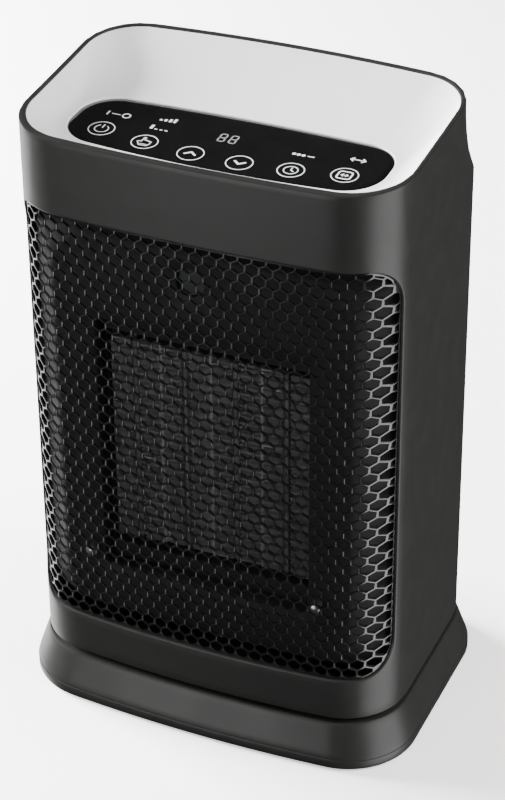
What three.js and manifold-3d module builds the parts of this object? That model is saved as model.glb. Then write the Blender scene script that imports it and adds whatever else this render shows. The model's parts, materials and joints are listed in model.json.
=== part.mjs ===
// A tabletop ceramic space heater that turns from side to side on its base.
// Millimetres, +Z up, front towards -Y, origin under the middle of the base at floor level.
import * as THREE from 'three'
import Module from 'manifold-3d'
import { mergeVertices } from 'three/addons/utils/BufferGeometryUtils.js'

const wasm = await Module()
wasm.setup()

// ---------------------------------------------------------------- driving dimensions
const GAP = 0.3 // between pieces that touch
const WALL = 2 // moulded housing
const FOOT_HEIGHT = 1.2

// Plan outlines: half width w, middle of the front and back, how far each bows out, corner radii.
const BASE_OUTLINE = { w: 95, front: -68, back: 68, bowF: 6.2, bowB: 2.1, rF: 34, rB: 28.7 }
const BODY_LOW = { w: 90, front: -62.6, back: 62, bowF: 6.4, bowB: 4.9, rF: 30.6, rB: 25 }
const BODY_HIGH = { w: 88.2, front: -62.8, back: 62, bowF: 3.8, bowB: 4.9, rF: 28.6, rB: 25 }
const PANEL_OUTLINE = { w: 71.3, front: -44, back: 0.2, bowF: 4.6, bowB: 2.6, rF: 18, rB: 16 }

const BASE_BAND = 4.9 // upright band round the foot of the skirt
const BASE_TOP = 23
const BASE_INSET = 5.3 // how far the skirt leans in
const BASE_WALL = 2.5

const BODY_BOTTOM = 25.6
const BODY_MID_TOP = 292 // height that BODY_HIGH belongs to
const COVE_Z = 258.9 // where the back starts to curve in under the rim
const COVE_DEPTH = 14.6
const COVE_STEPS = 4

const RIM_Z = 295.6 // rim height above the origin, rising to the back in a slight curve
const RIM_SLOPE = 0.0912
const RIM_CURVE = 2.6e-4
const PANEL_Z = 284.9 // control panel's top face above the origin
const PANEL_SLOPE = 0.054

const WINDOW = { half: 95.4, low: 47.4, high: 256.2, corner: 19 }
const REAR = { half: 64, low: 36, high: 244, corner: 12 }
const REAR_LEDGE = 8
const SLOT_ROWS = 9
const SLOT_LOW = 88
const SLOT_STEP = 15
const SLOT_TALL = 6

const HEX_PITCH = 31.5 // coarse stand-in for a fine honeycomb
const HEX_ROW = 28
const HEX_WALL = 4.2
const HEX_ROWS = 7
const HEX_PEAK = HEX_ROW * 0.64 - HEX_WALL * 0.3 // middle of a hole to its upper point
const HEX_UPRIGHT = HEX_ROW * 0.36 - HEX_WALL * 0.28 // and to the top of its upright side
const GRILLE_SINK = 0.9 // behind the housing's face
const GRILLE_THICK = 2.4

const HEAT_Z = 140 // middle of the heating block and the fan
const HEAT_FRONT = -43
const HEAT_DEPTH = 14
const HEAT_HEIGHT = 112 // height of the ceramic bars
const HEAT_BARS = 4
const HEAT_STEP = 24 // from one ceramic bar to the next, with a fin pack on each side of each
const BAR_WIDTH = 3
const FIN_WIDTH = HEAT_STEP / 2 - BAR_WIDTH / 2 - 1.5 * GAP
const FIN_HEIGHT = 106
const FIN_METAL = 0.8
const FIN_FOLDS = 18
const HEAT_WIDTH = HEAT_BARS * HEAT_STEP

// Baffle round the heating block: its flat front, its rim further back, and the opening before the block.
const BAFFLE_FLAT = { y: -52, half: 70, low: 50, high: 245, corner: 18 }
const BAFFLE_RIM = { y: -38.3, half: 85, low: 41.4, high: 260.2, corner: 14 }
const BAFFLE_MOUTH = { y: -52, half: 49.8, low: 75.4, high: 204.6, corner: 1.5 }
const BAFFLE_THICK = 1.8
const SENSOR_HOLE = { x: -4.3, z: 232, radius: 6.5 }

const FAN_RADIUS = 53
const FAN_Y = 17
const FAN_BLADES = 7

const GEAR_MODULE = 1.5
const GEAR_TEETH = 40
const PINION_TEETH = 12
const PRESSURE_ANGLE = 25 * Math.PI / 180
const BACKLASH = 0.3
const GEAR_LOW = 30.9
const GEAR_THICK = 5.6
const PINION_Y = GEAR_MODULE * (GEAR_TEETH + PINION_TEETH) / 2

const ARC_STEPS = 2 // straight stretches that stand for each curve
const CORNER_STEPS = 5
const FACE_STEPS = 6

const BUTTONS = 6
const BUTTON_STEP = 22.05
const BUTTON_Y = -34.6
const BUTTON_ARC = 0.00204 // the row of buttons curves back towards the sides

const SWITCH = { x: 34, z: 58, width: 19, height: 13 }
const GLAND = { x: -34, z: 58, radius: 6.5, bore: 3.4 }

// ---------------------------------------------------------------- solids
function solid(geometry) {
  const bare = geometry.clone()
  for (const name of Object.keys(bare.attributes)) if (name !== 'position') bare.deleteAttribute(name)
  const merged = mergeVertices(bare, 1e-4)
  return new wasm.Manifold(new wasm.Mesh({
    numProp: 3,
    vertProperties: new Float32Array(merged.attributes.position.array),
    triVerts: new Uint32Array(merged.index.array)
  }))
}

function shapeOf(body) {
  const mesh = body.getMesh()
  const geometry = new THREE.BufferGeometry()
  geometry.setAttribute('position', new THREE.BufferAttribute(mesh.vertProperties, 3))
  geometry.setIndex(new THREE.BufferAttribute(mesh.triVerts, 1))
  geometry.computeVertexNormals()
  return geometry
}

function cut(geometry, ...tools) {
  return shapeOf(tools.reduce((body, tool) => body.subtract(solid(tool)), solid(geometry)))
}

function join(...pieces) {
  return shapeOf(pieces.slice(1).reduce((body, piece) => body.add(solid(piece)), solid(pieces[0])))
}

// A skin through rings of [x, y, z] points, capped at both ends or closed on itself.
function loft(rings, closed = false) {
  const count = rings[0].length
  const points = rings.flat()
  const faces = []
  const bands = closed ? rings.length : rings.length - 1
  for (let band = 0; band < bands; band++) {
    const low = band * count
    const high = (band + 1) % rings.length * count
    for (let i = 0; i < count; i++) {
      const j = (i + 1) % count
      faces.push(low + i, low + j, high + j, low + i, high + j, high + i)
    }
  }
  if (!closed) {
    for (const [start, flip] of [[0, true], [(rings.length - 1) * count, false]]) {
      const ring = points.slice(start, start + count)
      const average = [0, 1, 2].map(k => ring.reduce((sum, p) => sum + p[k], 0) / count)
      const middle = points.push(average) - 1
      for (let i = 0; i < count; i++) {
        const j = (i + 1) % count
        if (flip) faces.push(start + j, start + i, middle)
        else faces.push(start + i, start + j, middle)
      }
    }
  }
  let volume = 0
  for (let i = 0; i < faces.length; i += 3) {
    const [a, b, c] = faces.slice(i, i + 3).map(f => new THREE.Vector3(...points[f]))
    volume += a.dot(b.cross(c))
  }
  if (volume < 0) faces.reverse()
  const geometry = new THREE.BufferGeometry()
  geometry.setAttribute('position', new THREE.Float32BufferAttribute(points.flat(), 3))
  geometry.setIndex(faces)
  geometry.computeVertexNormals()
  return geometry
}

const box = (x, y, z, at = [0, 0, 0]) => new THREE.BoxGeometry(x, y, z).translate(...at)

// A turned piece about the Z axis from [radius, height] points that start and end on the axis or close.
const turned = (profile, steps = 32) =>
  new THREE.LatheGeometry(profile.map(([r, z]) => new THREE.Vector2(r, z)), steps).rotateX(Math.PI / 2)

const disc = (radius, low, high, steps = 32) =>
  turned([[0, low], [radius, low], [radius, high], [0, high]], steps)

const tube = (inner, outer, low, high, steps = 32) =>
  turned([[inner, low], [outer, low], [outer, high], [inner, high], [inner, low]], steps)

// Turns a piece made about Z so that its +Z looks to the back.
const toBack = geometry => geometry.rotateX(-Math.PI / 2)

// ---------------------------------------------------------------- plan outlines
const mix = (a, b, t) => Object.fromEntries(Object.keys(a).map(key => [key, a[key] + (b[key] - a[key]) * t]))

const inset = (o, d) => (
  { ...o, w: o.w - d, front: o.front + d, back: o.back - d, rF: o.rF - d, rB: o.rB - d }
)

// The arc and corner of one long side: bow radius, its middle, the corner's middle and where they meet.
function bowedSide(w, edge, bow, r) {
  const big = (w * w + bow * bow) / (2 * bow)
  const arcY = edge + big
  const cornerX = w - r
  const cornerY = arcY - Math.sqrt((big - r) ** 2 - cornerX ** 2)
  return { big, arcY, cornerX, cornerY, meet: Math.atan2(cornerX, arcY - cornerY), r }
}

// Half of an outline's front, from its middle to the straight side.
function halfSide(w, edge, bow, r) {
  const side = bowedSide(w, edge, bow, r)
  const points = []
  for (let i = 0; i <= ARC_STEPS; i++) {
    const t = side.meet * i / ARC_STEPS
    points.push([side.big * Math.sin(t), side.arcY - side.big * Math.cos(t)])
  }
  for (let i = 1; i <= CORNER_STEPS; i++) {
    const t = side.meet + (Math.PI / 2 - side.meet) * i / CORNER_STEPS
    points.push([side.cornerX + r * Math.sin(t), side.cornerY - r * Math.cos(t)])
  }
  return points
}

function outline(o) {
  const front = halfSide(o.w, o.front, o.bowF, o.rF)
  const back = halfSide(o.w, -o.back, o.bowB, o.rB).map(([x, y]) => [x, -y]).reverse()
  const half = [...front, ...back]
  const mirrored = half.slice(1, -1).reverse().map(([x, y]) => [-x, y])
  return [...half, ...mirrored]
}

// An outline's points at one height, or at the height that a function gives for each.
function ring(o, height) {
  const heightAt = typeof height === 'function' ? height : () => height
  return outline(o).map(([x, y]) => [x, y, heightAt(x, y)])
}

const rimZ = (x, y) => RIM_Z + RIM_SLOPE * y + RIM_CURVE * y * y
const panelZ = (x, y) => PANEL_Z + PANEL_SLOPE * y

const bodyOutline = z => mix(BODY_LOW, BODY_HIGH, (z - BODY_BOTTOM) / (BODY_MID_TOP - BODY_BOTTOM))

// The body's outline between the cove's lower edge (t = 0) and the rim (t = 1).
function coveOutline(t) {
  const o = bodyOutline(COVE_Z + (RIM_Z - COVE_Z) * t)
  return { ...o, back: o.back - COVE_DEPTH * (1 - (1 - t) ** 2) }
}

// Rings of the body's outer face, moved in by d.
function bodyRings(d) {
  const rings = [ring(inset(bodyOutline(BODY_BOTTOM), d), BODY_BOTTOM)]
  for (let i = 0; i <= COVE_STEPS; i++) {
    const t = i / COVE_STEPS
    rings.push(ring(inset(coveOutline(t), d), (x, y) => COVE_Z + (rimZ(x, y) - COVE_Z) * t))
  }
  return rings
}

// A point `along` the front (side -1) or back (side 1) from its middle, `out` from the surface.
function onFace(o, side, along, out) {
  const [edge, bow, r] = side < 0 ? [o.front, o.bowF, o.rF] : [-o.back, o.bowB, o.rB]
  const face = bowedSide(o.w, edge, bow, r)
  const far = Math.abs(along)
  const straight = face.big * face.meet
  const turn = far < straight ? far / face.big : face.meet + (far - straight) / r
  const x = far < straight ? (face.big + out) * Math.sin(turn) : face.cornerX + (r + out) * Math.sin(turn)
  const y = far < straight
    ? face.arcY - (face.big + out) * Math.cos(turn)
    : face.cornerY - (r + out) * Math.cos(turn)
  return { x: Math.sign(along) * x, y: -side * y, turn: Math.sign(along) * turn }
}

// A slab with round corners that follows the body's front or back between two depths.
function faceSlab(side, { half, low, high, corner }, outer, inner, grow = 0) {
  const length = half + grow
  const radius = Math.max(corner + grow, 1)
  const stops = []
  for (let i = CORNER_STEPS; i > 0; i--) {
    const t = Math.PI / 2 * i / CORNER_STEPS
    stops.push([length - radius + radius * Math.sin(t), radius * (1 - Math.cos(t))])
  }
  const flat = length - radius
  const columns = [...stops.map(([s, trim]) => [-s, trim])]
  for (let i = 0; i <= FACE_STEPS; i++) columns.push([-flat + 2 * flat * i / FACE_STEPS, 0])
  columns.push(...stops.reverse())
  const rings = columns.map(([s, trim]) => {
    const from = low - grow + trim
    const to = high + grow - trim
    const at = (out, z) => {
      const p = onFace(bodyOutline(z), side, s, out)
      return [p.x, p.y, z]
    }
    return [at(outer, from), at(outer, to), at(inner, to), at(inner, from)]
  })
  return loft(rings)
}

// ---------------------------------------------------------------- the object
const heater = new THREE.Group()

function finish(color, roughness, metalness = 0) {
  return { color, roughness, metalness }
}

const GRAPHITE = finish(0x3a3a38, 0.38)
const BLACK = finish(0x1c1c1c, 0.5)
const WHITE = finish(0xe9e9ea, 0.3)
const GLOSS_BLACK = finish(0x0c0c0c, 0.08)
const RUBBER = finish(0x141414, 0.85)
const STEEL = finish(0xb4b6b8, 0.35, 1)
const ALUMINIUM = finish(0xa9abad, 0.42, 1)
const NATURAL_NYLON = finish(0xdedbcf, 0.55)
const BOARD = finish(0x1f5a33, 0.5)
const DARK_PART = finish(0x23262b, 0.45)

function add(name, geometry, look) {
  const mesh = new THREE.Mesh(geometry, new THREE.MeshStandardMaterial(look))
  mesh.name = name
  heater.add(mesh)
  return mesh
}

// ---------------------------------------------------------------- base
const SKIRT_TOP = inset(BASE_OUTLINE, BASE_INSET)
SKIRT_TOP.rF = BASE_OUTLINE.rF - BASE_INSET * 0.6
SKIRT_TOP.rB = BASE_OUTLINE.rB - BASE_INSET * 0.6
const HUB_RADIUS = 24
const HUB_TOP = GEAR_LOW - GAP
const FEET = [[-72, -44], [72, -44], [-72, 46], [72, 46]]
const PLATE_LOW = FOOT_HEIGHT + GAP
const PLATE_HIGH = PLATE_LOW + 2.2

function baseCover() {
  const skirtRings = d => [
    ring(inset(BASE_OUTLINE, d), FOOT_HEIGHT),
    ring(inset(BASE_OUTLINE, d), FOOT_HEIGHT + BASE_BAND),
    ring(inset(SKIRT_TOP, d), BASE_TOP)
  ]
  const outer = loft(skirtRings(0))
  const hollow = loft([
    ring(inset(BASE_OUTLINE, BASE_WALL), FOOT_HEIGHT - 1),
    ring(inset(BASE_OUTLINE, BASE_WALL), FOOT_HEIGHT + BASE_BAND),
    ring(inset(SKIRT_TOP, BASE_WALL), BASE_TOP - BASE_WALL)
  ])
  return cut(outer, hollow, disc(HUB_RADIUS + GAP, 0, 40))
}
add('base_cover', baseCover(), GRAPHITE)

const basePlate = loft([
  ring(inset(BASE_OUTLINE, BASE_WALL + GAP), PLATE_LOW),
  ring(inset(BASE_OUTLINE, BASE_WALL + GAP), PLATE_HIGH)
])
const footHoles = FEET.map(([x, y]) => disc(3.3, 0, 8, 16).translate(x, y, 0))
add('base_plate', cut(basePlate, ...footHoles), BLACK)

FEET.forEach(([x, y], i) => {
  const profile = [[0, 0], [8.4, 0], [9, 0.6], [9, FOOT_HEIGHT], [3, FOOT_HEIGHT], [3, 5.4], [0, 5.4]]
  const foot = turned(profile, 16)
  add(`rubber_foot_${i + 1}`, foot.translate(x, y, 0), RUBBER)
})

// The hollow post that the body turns on. Its flange hangs under the base cover's top.
const FLANGE_HIGH = BASE_TOP - BASE_WALL - GAP
add('swivel_hub', turned([
  [18, FLANGE_HIGH - 3], [34, FLANGE_HIGH - 3], [34, FLANGE_HIGH], [HUB_RADIUS, FLANGE_HIGH],
  [HUB_RADIUS, HUB_TOP], [18, HUB_TOP], [18, FLANGE_HIGH - 3]
], 32), NATURAL_NYLON)

add('glide_ring', tube(38, 50, BASE_TOP + GAP, BODY_BOTTOM - GAP, 32), NATURAL_NYLON)

// ---------------------------------------------------------------- turning gear
// Involute spur gear outline. A tooth's middle points along `aim`.
function gearShape(teeth, aim) {
  const pitch = GEAR_MODULE * teeth / 2
  const root = pitch - 1.2 * GEAR_MODULE
  const tip = pitch + 0.9 * GEAR_MODULE
  const baseCircle = pitch * Math.cos(PRESSURE_ANGLE)
  const involute = angle => Math.tan(angle) - angle
  const halfTooth = (Math.PI * GEAR_MODULE - BACKLASH) / 4 / pitch
  const flankAt = radius => {
    const angle = Math.acos(Math.min(baseCircle / radius, 1))
    return halfTooth + involute(PRESSURE_ANGLE) - involute(angle)
  }
  const start = Math.max(root, baseCircle)
  const radii = [0, 1, 2].map(i => start + (tip - start) * i / 2)
  const points = []
  for (let tooth = 0; tooth < teeth; tooth++) {
    const middle = aim + 2 * Math.PI * tooth / teeth
    const flank = radii.map(r => [r, flankAt(r)])
    if (root < start) flank.unshift([root, flank[0][1]])
    points.push(...flank.map(([r, a]) => [r, middle - a]))
    points.push(...flank.reverse().map(([r, a]) => [r, middle + a]))
  }
  return new THREE.Shape(points.map(([r, a]) => new THREE.Vector2(r * Math.cos(a), r * Math.sin(a))))
}

function gear(teeth, aim, bore) {
  const shape = gearShape(teeth, aim)
  if (bore) shape.holes.push(new THREE.Path().absarc(0, 0, bore, 0, 2 * Math.PI, true))
  return new THREE.ExtrudeGeometry(shape, { depth: GEAR_THICK, bevelEnabled: false, curveSegments: 12 })
}

// A gap of the fixed gear faces the pinion, and a tooth of the pinion faces the gear.
const fixedGear = gear(GEAR_TEETH, Math.PI / 2 + Math.PI / GEAR_TEETH, 18)
add('swivel_gear', fixedGear.translate(0, 0, GEAR_LOW), NATURAL_NYLON)
const pinionStem = disc(2.5, GEAR_LOW + GEAR_THICK - 1, 44, 16)
const pinionGear = gear(PINION_TEETH, -Math.PI / 2, 0).translate(0, 0, GEAR_LOW)
add('drive_pinion', join(pinionGear, pinionStem).translate(0, PINION_Y, 0), NATURAL_NYLON)

// ---------------------------------------------------------------- body shell
function housing() {
  const inner = bodyRings(WALL)
  const floor = inner[0].map(([x, y, z]) => [x, y, z - 2])
  const lid = inner.at(-1).map(([x, y, z]) => [x, y, z + 4])
  const ledge = faceSlab(1, REAR, -WALL + 0.4, -WALL * 2, 4)
  const shell = join(cut(loft(bodyRings(0)), loft([floor, ...inner, lid])), ledge)
  const screwBores = rearScrewPlaces().map(([x, z]) => toBack(disc(1.9, 40, 70, 16)).translate(x, 0, z))
  return cut(
    shell,
    faceSlab(-1, WINDOW, 4, -WALL - 4),
    faceSlab(1, REAR, 4, -WALL),
    faceSlab(1, REAR, 4, -WALL * 3, -REAR_LEDGE),
    ...screwBores
  )
}

function rearScrewPlaces() {
  const x = REAR.half - 4.5
  const z = [REAR.low + 8, REAR.high - 8]
  return [[-x, z[0]], [x, z[0]], [-x, z[1]], [x, z[1]]]
}
add('housing', housing(), GRAPHITE)

const bottomPlate = loft([
  ring(inset(bodyOutline(BODY_BOTTOM), WALL + GAP), BODY_BOTTOM),
  ring(inset(bodyOutline(BODY_BOTTOM), WALL + GAP), BODY_BOTTOM + 2.4)
])
add('bottom_plate', cut(bottomPlate, disc(HUB_RADIUS + 0.6, 0, 60)), BLACK)

// ---------------------------------------------------------------- front grille
function hexagon(along, z) {
  const halfWide = (HEX_PITCH - HEX_WALL) / 2
  const corners = [
    [0, -HEX_PEAK], [halfWide, -HEX_UPRIGHT], [halfWide, HEX_UPRIGHT],
    [0, HEX_PEAK], [-halfWide, HEX_UPRIGHT], [-halfWide, -HEX_UPRIGHT]
  ]
  const shape = new THREE.Shape(corners.map(([x, y]) => new THREE.Vector2(x, y)))
  const prism = new THREE.ExtrudeGeometry(shape, { depth: 14, bevelEnabled: false }).translate(0, 0, -9)
  const place = onFace(bodyOutline(z), -1, along, 0)
  const tangent = new THREE.Vector3(Math.cos(place.turn), Math.sin(place.turn), 0)
  const normal = new THREE.Vector3(Math.sin(place.turn), -Math.cos(place.turn), 0)
  const frame = new THREE.Matrix4().makeBasis(tangent, new THREE.Vector3(0, 0, 1), normal)
  return prism.applyMatrix4(frame.setPosition(place.x, place.y, z))
}

function grille() {
  const plate = faceSlab(-1, WINDOW, -GRILLE_SINK, -GRILLE_SINK - GRILLE_THICK, -GAP)
  const middle = (WINDOW.low + WINDOW.high) / 2
  const holes = []
  for (let row = -(HEX_ROWS - 1) / 2; row <= (HEX_ROWS - 1) / 2; row++) {
    const shift = row % 2 ? 0.5 : 0
    for (let column = -2 - 2 * shift; column <= 2; column++) {
      holes.push(hexagon((column + shift) * HEX_PITCH, middle + row * HEX_ROW))
    }
  }
  return cut(plate, ...holes)
}
add('front_grille', grille(), BLACK)

// ---------------------------------------------------------------- top tray and control panel
const TRAY_EDGE = inset(coveOutline(1), WALL + GAP)
const FLOOR_EDGE = inset(PANEL_OUTLINE, -1.3)
const TRAY_THICK = 2
const TRAY_DROP = 0.6 // below the rim
const PANEL_THICK = 1.6

function tray() {
  const basin = (s, down) => {
    const dip = 1 - (1 - s) ** 2
    return ring(mix(TRAY_EDGE, FLOOR_EDGE, s), (x, y) => {
      const high = rimZ(x, y) - TRAY_DROP
      return high + (panelZ(x, y) - high) * dip - down
    })
  }
  const seat = inset(PANEL_OUTLINE, -GAP)
  const mouth = inset(PANEL_OUTLINE, 3)
  const below = d => (x, y) => panelZ(x, y) - d
  const steps = [0, 0.12, 0.28, 0.5, 0.75, 1]
  return loft([
    ...steps.map(s => basin(s, 0)),
    ring(seat, below(0)),
    ring(seat, below(PANEL_THICK + GAP)),
    ring(mouth, below(PANEL_THICK + GAP)),
    ring(mouth, below(PANEL_THICK + TRAY_THICK)),
    ...steps.slice(1).reverse().map(s => basin(s, PANEL_THICK * s + TRAY_THICK)),
    ring(TRAY_EDGE, (x, y) => rimZ(x, y) - TRAY_DROP - 5)
  ], true)
}
add('top_tray', tray(), WHITE)

add('touch_panel', loft([
  ring(PANEL_OUTLINE, (x, y) => panelZ(x, y) - PANEL_THICK),
  ring(PANEL_OUTLINE, panelZ)
]), GLOSS_BLACK)

// Everything under the panel lies parallel to it.
function underPanel(geometry, x, y, down) {
  return geometry.rotateX(Math.atan(PANEL_SLOPE)).translate(x, y, panelZ(x, y) - PANEL_THICK - down)
}
const SPRING_TALL = 6
for (let i = 0; i < BUTTONS; i++) {
  const x = (i - (BUTTONS - 1) / 2) * BUTTON_STEP
  const y = BUTTON_Y + BUTTON_ARC * x * x
  const coil = tube(3.6, 4.6, -SPRING_TALL, 0, 12)
  add(`touch_spring_${i + 1}`, underPanel(coil, x, y, 2 * GAP), STEEL)
}
const BOARD_DOWN = SPRING_TALL + 3 * GAP
add('display_board', underPanel(box(124, 38, 1.6, [0, 0, -0.8]), 0, -20.5, BOARD_DOWN), BOARD)
add('led_display', underPanel(box(25, 13, 5.2, [0, 0, -2.6]), 0, -15.5, BOARD_DOWN - 5.2 - GAP), DARK_PART)

// ---------------------------------------------------------------- rear cover
function rearCover() {
  const plate = faceSlab(1, REAR, -0.3, -WALL + GAP, -GAP)
  const tools = rearScrewPlaces().map(([x, z]) => toBack(disc(1.9, 40, 70, 16)).translate(x, 0, z))
  for (let row = 0; row < SLOT_ROWS; row++) {
    for (const x of [-27, 27]) tools.push(box(46, 20, SLOT_TALL, [x, 60, SLOT_LOW + row * SLOT_STEP]))
  }
  tools.push(box(SWITCH.width, 20, SWITCH.height, [SWITCH.x, 60, SWITCH.z]))
  tools.push(toBack(disc(GLAND.radius + GAP, 40, 70, 24)).translate(GLAND.x, 0, GLAND.z))
  return cut(plate, ...tools)
}
add('rear_cover', rearCover(), BLACK)

const SCREW = [[0, 0], [2.2, 0], [3, 0.9], [3, 1.2], [1.5, 1.2], [1.5, 8.5], [0, 9.2]]
rearScrewPlaces().forEach(([x, z], i) => {
  const back = onFace(bodyOutline(z), 1, x, 0).y
  const screw = toBack(turned(SCREW.map(([r, h]) => [r, -h]).reverse(), 12))
  add(`rear_screw_${i + 1}`, screw.translate(x, back + 1.3, z), STEEL)
})

// ---------------------------------------------------------------- power inlet and switch
const REAR_FACE = BODY_LOW.back
const glandProfile = [
  [GLAND.bore, -9], [GLAND.radius, -9], [GLAND.radius, -0.2], [GLAND.radius + 1.8, 0],
  [GLAND.radius + 1.8, 1.2], [GLAND.bore + 1.6, 4.4], [GLAND.bore, 4.4], [GLAND.bore, -9]
]
add('cord_gland', toBack(turned(glandProfile, 20)).translate(GLAND.x, REAR_FACE, GLAND.z), RUBBER)

function switchHousing() {
  const flange = box(SWITCH.width + 4, 1.4, SWITCH.height + 4, [0, 1, 0])
  const sleeve = box(SWITCH.width - 2 * GAP, 14, SWITCH.height - 2 * GAP, [0, -5.5, 0])
  const well = box(SWITCH.width - 4, 12, SWITCH.height - 4, [0, -2, 0])
  return cut(join(flange, sleeve), well)
}
add('switch_housing', switchHousing().translate(SWITCH.x, REAR_FACE, SWITCH.z), BLACK)

// A shallow V across the top, so that one half stands proud. It turns about X.
const ROCKER_LONG = SWITCH.height - 5.4
const rockerShape = new THREE.Shape([
  [-ROCKER_LONG / 2, -1.5], [ROCKER_LONG / 2, -1.5], [ROCKER_LONG / 2, 1.3], [0, 0.9], [-ROCKER_LONG / 2, 2.3]
].map(([x, y]) => new THREE.Vector2(x, y)))
const rocker = new THREE.ExtrudeGeometry(rockerShape, { depth: SWITCH.width - 4.8, bevelEnabled: false })
rocker.translate(0, 0, -(SWITCH.width - 4.8) / 2)
rocker.applyMatrix4(new THREE.Matrix4().makeBasis(
  new THREE.Vector3(0, 0, 1), new THREE.Vector3(0, 1, 0), new THREE.Vector3(-1, 0, 0)
))
add('power_rocker', rocker.translate(SWITCH.x, REAR_FACE, SWITCH.z), BLACK)

// ---------------------------------------------------------------- heating block
const FRAME = { half: HEAT_WIDTH / 2 + 8, tall: 142, depth: 20 }
const FRAME_FRONT = BAFFLE_MOUTH.y + 7.5
const FRAME_BACK = FRAME_FRONT + FRAME.depth
const HEAT_Y = HEAT_FRONT + HEAT_DEPTH / 2
const frameBody = box(2 * FRAME.half, FRAME.depth, FRAME.tall)
const frameHole = box(HEAT_WIDTH + 2 * GAP, FRAME.depth + 4, HEAT_HEIGHT + 2 * GAP)
add('heater_frame', cut(frameBody, frameHole).translate(0, FRAME_FRONT + FRAME.depth / 2, HEAT_Z), BLACK)

// Aluminium strip folded to and fro beside a ceramic bar. Each ring is the strip's section at a corner.
function finPack() {
  const half = FIN_WIDTH / 2
  const thick = FIN_METAL / 2
  const bottom = thick - FIN_HEIGHT / 2
  const step = (FIN_HEIGHT - FIN_METAL) / FIN_FOLDS
  const section = ([ax, az], [bx, bz]) => {
    const deep = HEAT_DEPTH / 2
    return [[ax, -deep, az], [ax, deep, az], [bx, deep, bz], [bx, -deep, bz]]
  }
  const rings = [section([-half, bottom - thick], [-half, bottom + thick])]
  for (let fold = 0; fold < FIN_FOLDS; fold++) {
    const side = fold % 2 ? -1 : 1
    for (const [z, turn] of [[bottom + fold * step, -1], [bottom + (fold + 1) * step, 1]]) {
      const outer = [side * half, z + turn * thick]
      const inner = [side * (half - FIN_METAL), z - turn * thick]
      rings.push(side > 0 ? section(outer, inner) : section(inner, outer))
    }
  }
  const top = bottom + FIN_FOLDS * step
  rings.push(section([half, top - thick], [half, top + thick]))
  return loft(rings)
}

for (let i = 0; i < HEAT_BARS; i++) {
  const x = (i - (HEAT_BARS - 1) / 2) * HEAT_STEP
  add(`ceramic_bar_${i + 1}`, box(BAR_WIDTH, HEAT_DEPTH, HEAT_HEIGHT, [x, HEAT_Y, HEAT_Z]), ALUMINIUM)
  for (const side of [0, 1]) {
    const away = (2 * side - 1) * (BAR_WIDTH / 2 + GAP + FIN_WIDTH / 2)
    add(`fin_pack_${2 * i + side + 1}`, finPack().translate(x + away, HEAT_Y, HEAT_Z), ALUMINIUM)
  }
}
const FRAME_TOP = HEAT_Z + FRAME.tall / 2
add('heat_sensor', box(7, 4, 12, [22, HEAT_Y, FRAME_TOP + GAP + 6]), NATURAL_NYLON)

// ---------------------------------------------------------------- baffle round the block
// A rounded rectangle that faces the front, moved in by d, as points at depth y.
function uprightRing({ half, low, high, corner }, y, d = 0) {
  const reach = half - d
  const tall = (high - low) / 2 - d
  const radius = Math.max(corner - d, 0.5)
  const points = []
  for (let quarter = 0; quarter < 4; quarter++) {
    const [sx, sz] = [[1, -1], [1, 1], [-1, 1], [-1, -1]][quarter]
    for (let i = 0; i <= CORNER_STEPS; i++) {
      const turn = Math.PI / 2 * (quarter - 1 + i / CORNER_STEPS)
      const x = sx * (reach - radius) + radius * Math.cos(turn)
      const z = sz * (tall - radius) + radius * Math.sin(turn)
      points.push([x, y, (low + high) / 2 + z])
    }
  }
  return points
}

const pan = loft([
  uprightRing(BAFFLE_MOUTH, FRAME_FRONT - GAP),
  uprightRing(BAFFLE_MOUTH, BAFFLE_MOUTH.y),
  uprightRing(BAFFLE_FLAT, BAFFLE_FLAT.y),
  uprightRing(BAFFLE_RIM, BAFFLE_RIM.y),
  uprightRing(BAFFLE_RIM, BAFFLE_RIM.y + BAFFLE_THICK, 0.6),
  uprightRing(BAFFLE_FLAT, BAFFLE_FLAT.y + BAFFLE_THICK, 0.6),
  uprightRing(BAFFLE_MOUTH, BAFFLE_MOUTH.y + BAFFLE_THICK, -BAFFLE_THICK),
  uprightRing(BAFFLE_MOUTH, FRAME_FRONT - GAP, -BAFFLE_THICK)
], true)
const sensorHole = toBack(disc(SENSOR_HOLE.radius, BAFFLE_FLAT.y - 1, BAFFLE_FLAT.y + 4, 20))
add('air_baffle', cut(pan, sensorHole.translate(SENSOR_HOLE.x, 0, SENSOR_HOLE.z)), BLACK)

const cutout = toBack(turned([
  [0, BAFFLE_FLAT.y + BAFFLE_THICK + GAP], [9, BAFFLE_FLAT.y + BAFFLE_THICK + GAP],
  [9, BAFFLE_FLAT.y + 4], [7, BAFFLE_FLAT.y + 4], [7, BAFFLE_FLAT.y + 10], [0, BAFFLE_FLAT.y + 10]
], 20))
add('thermal_cutout', cutout.translate(SENSOR_HOLE.x, 0, SENSOR_HOLE.z), DARK_PART)

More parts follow.
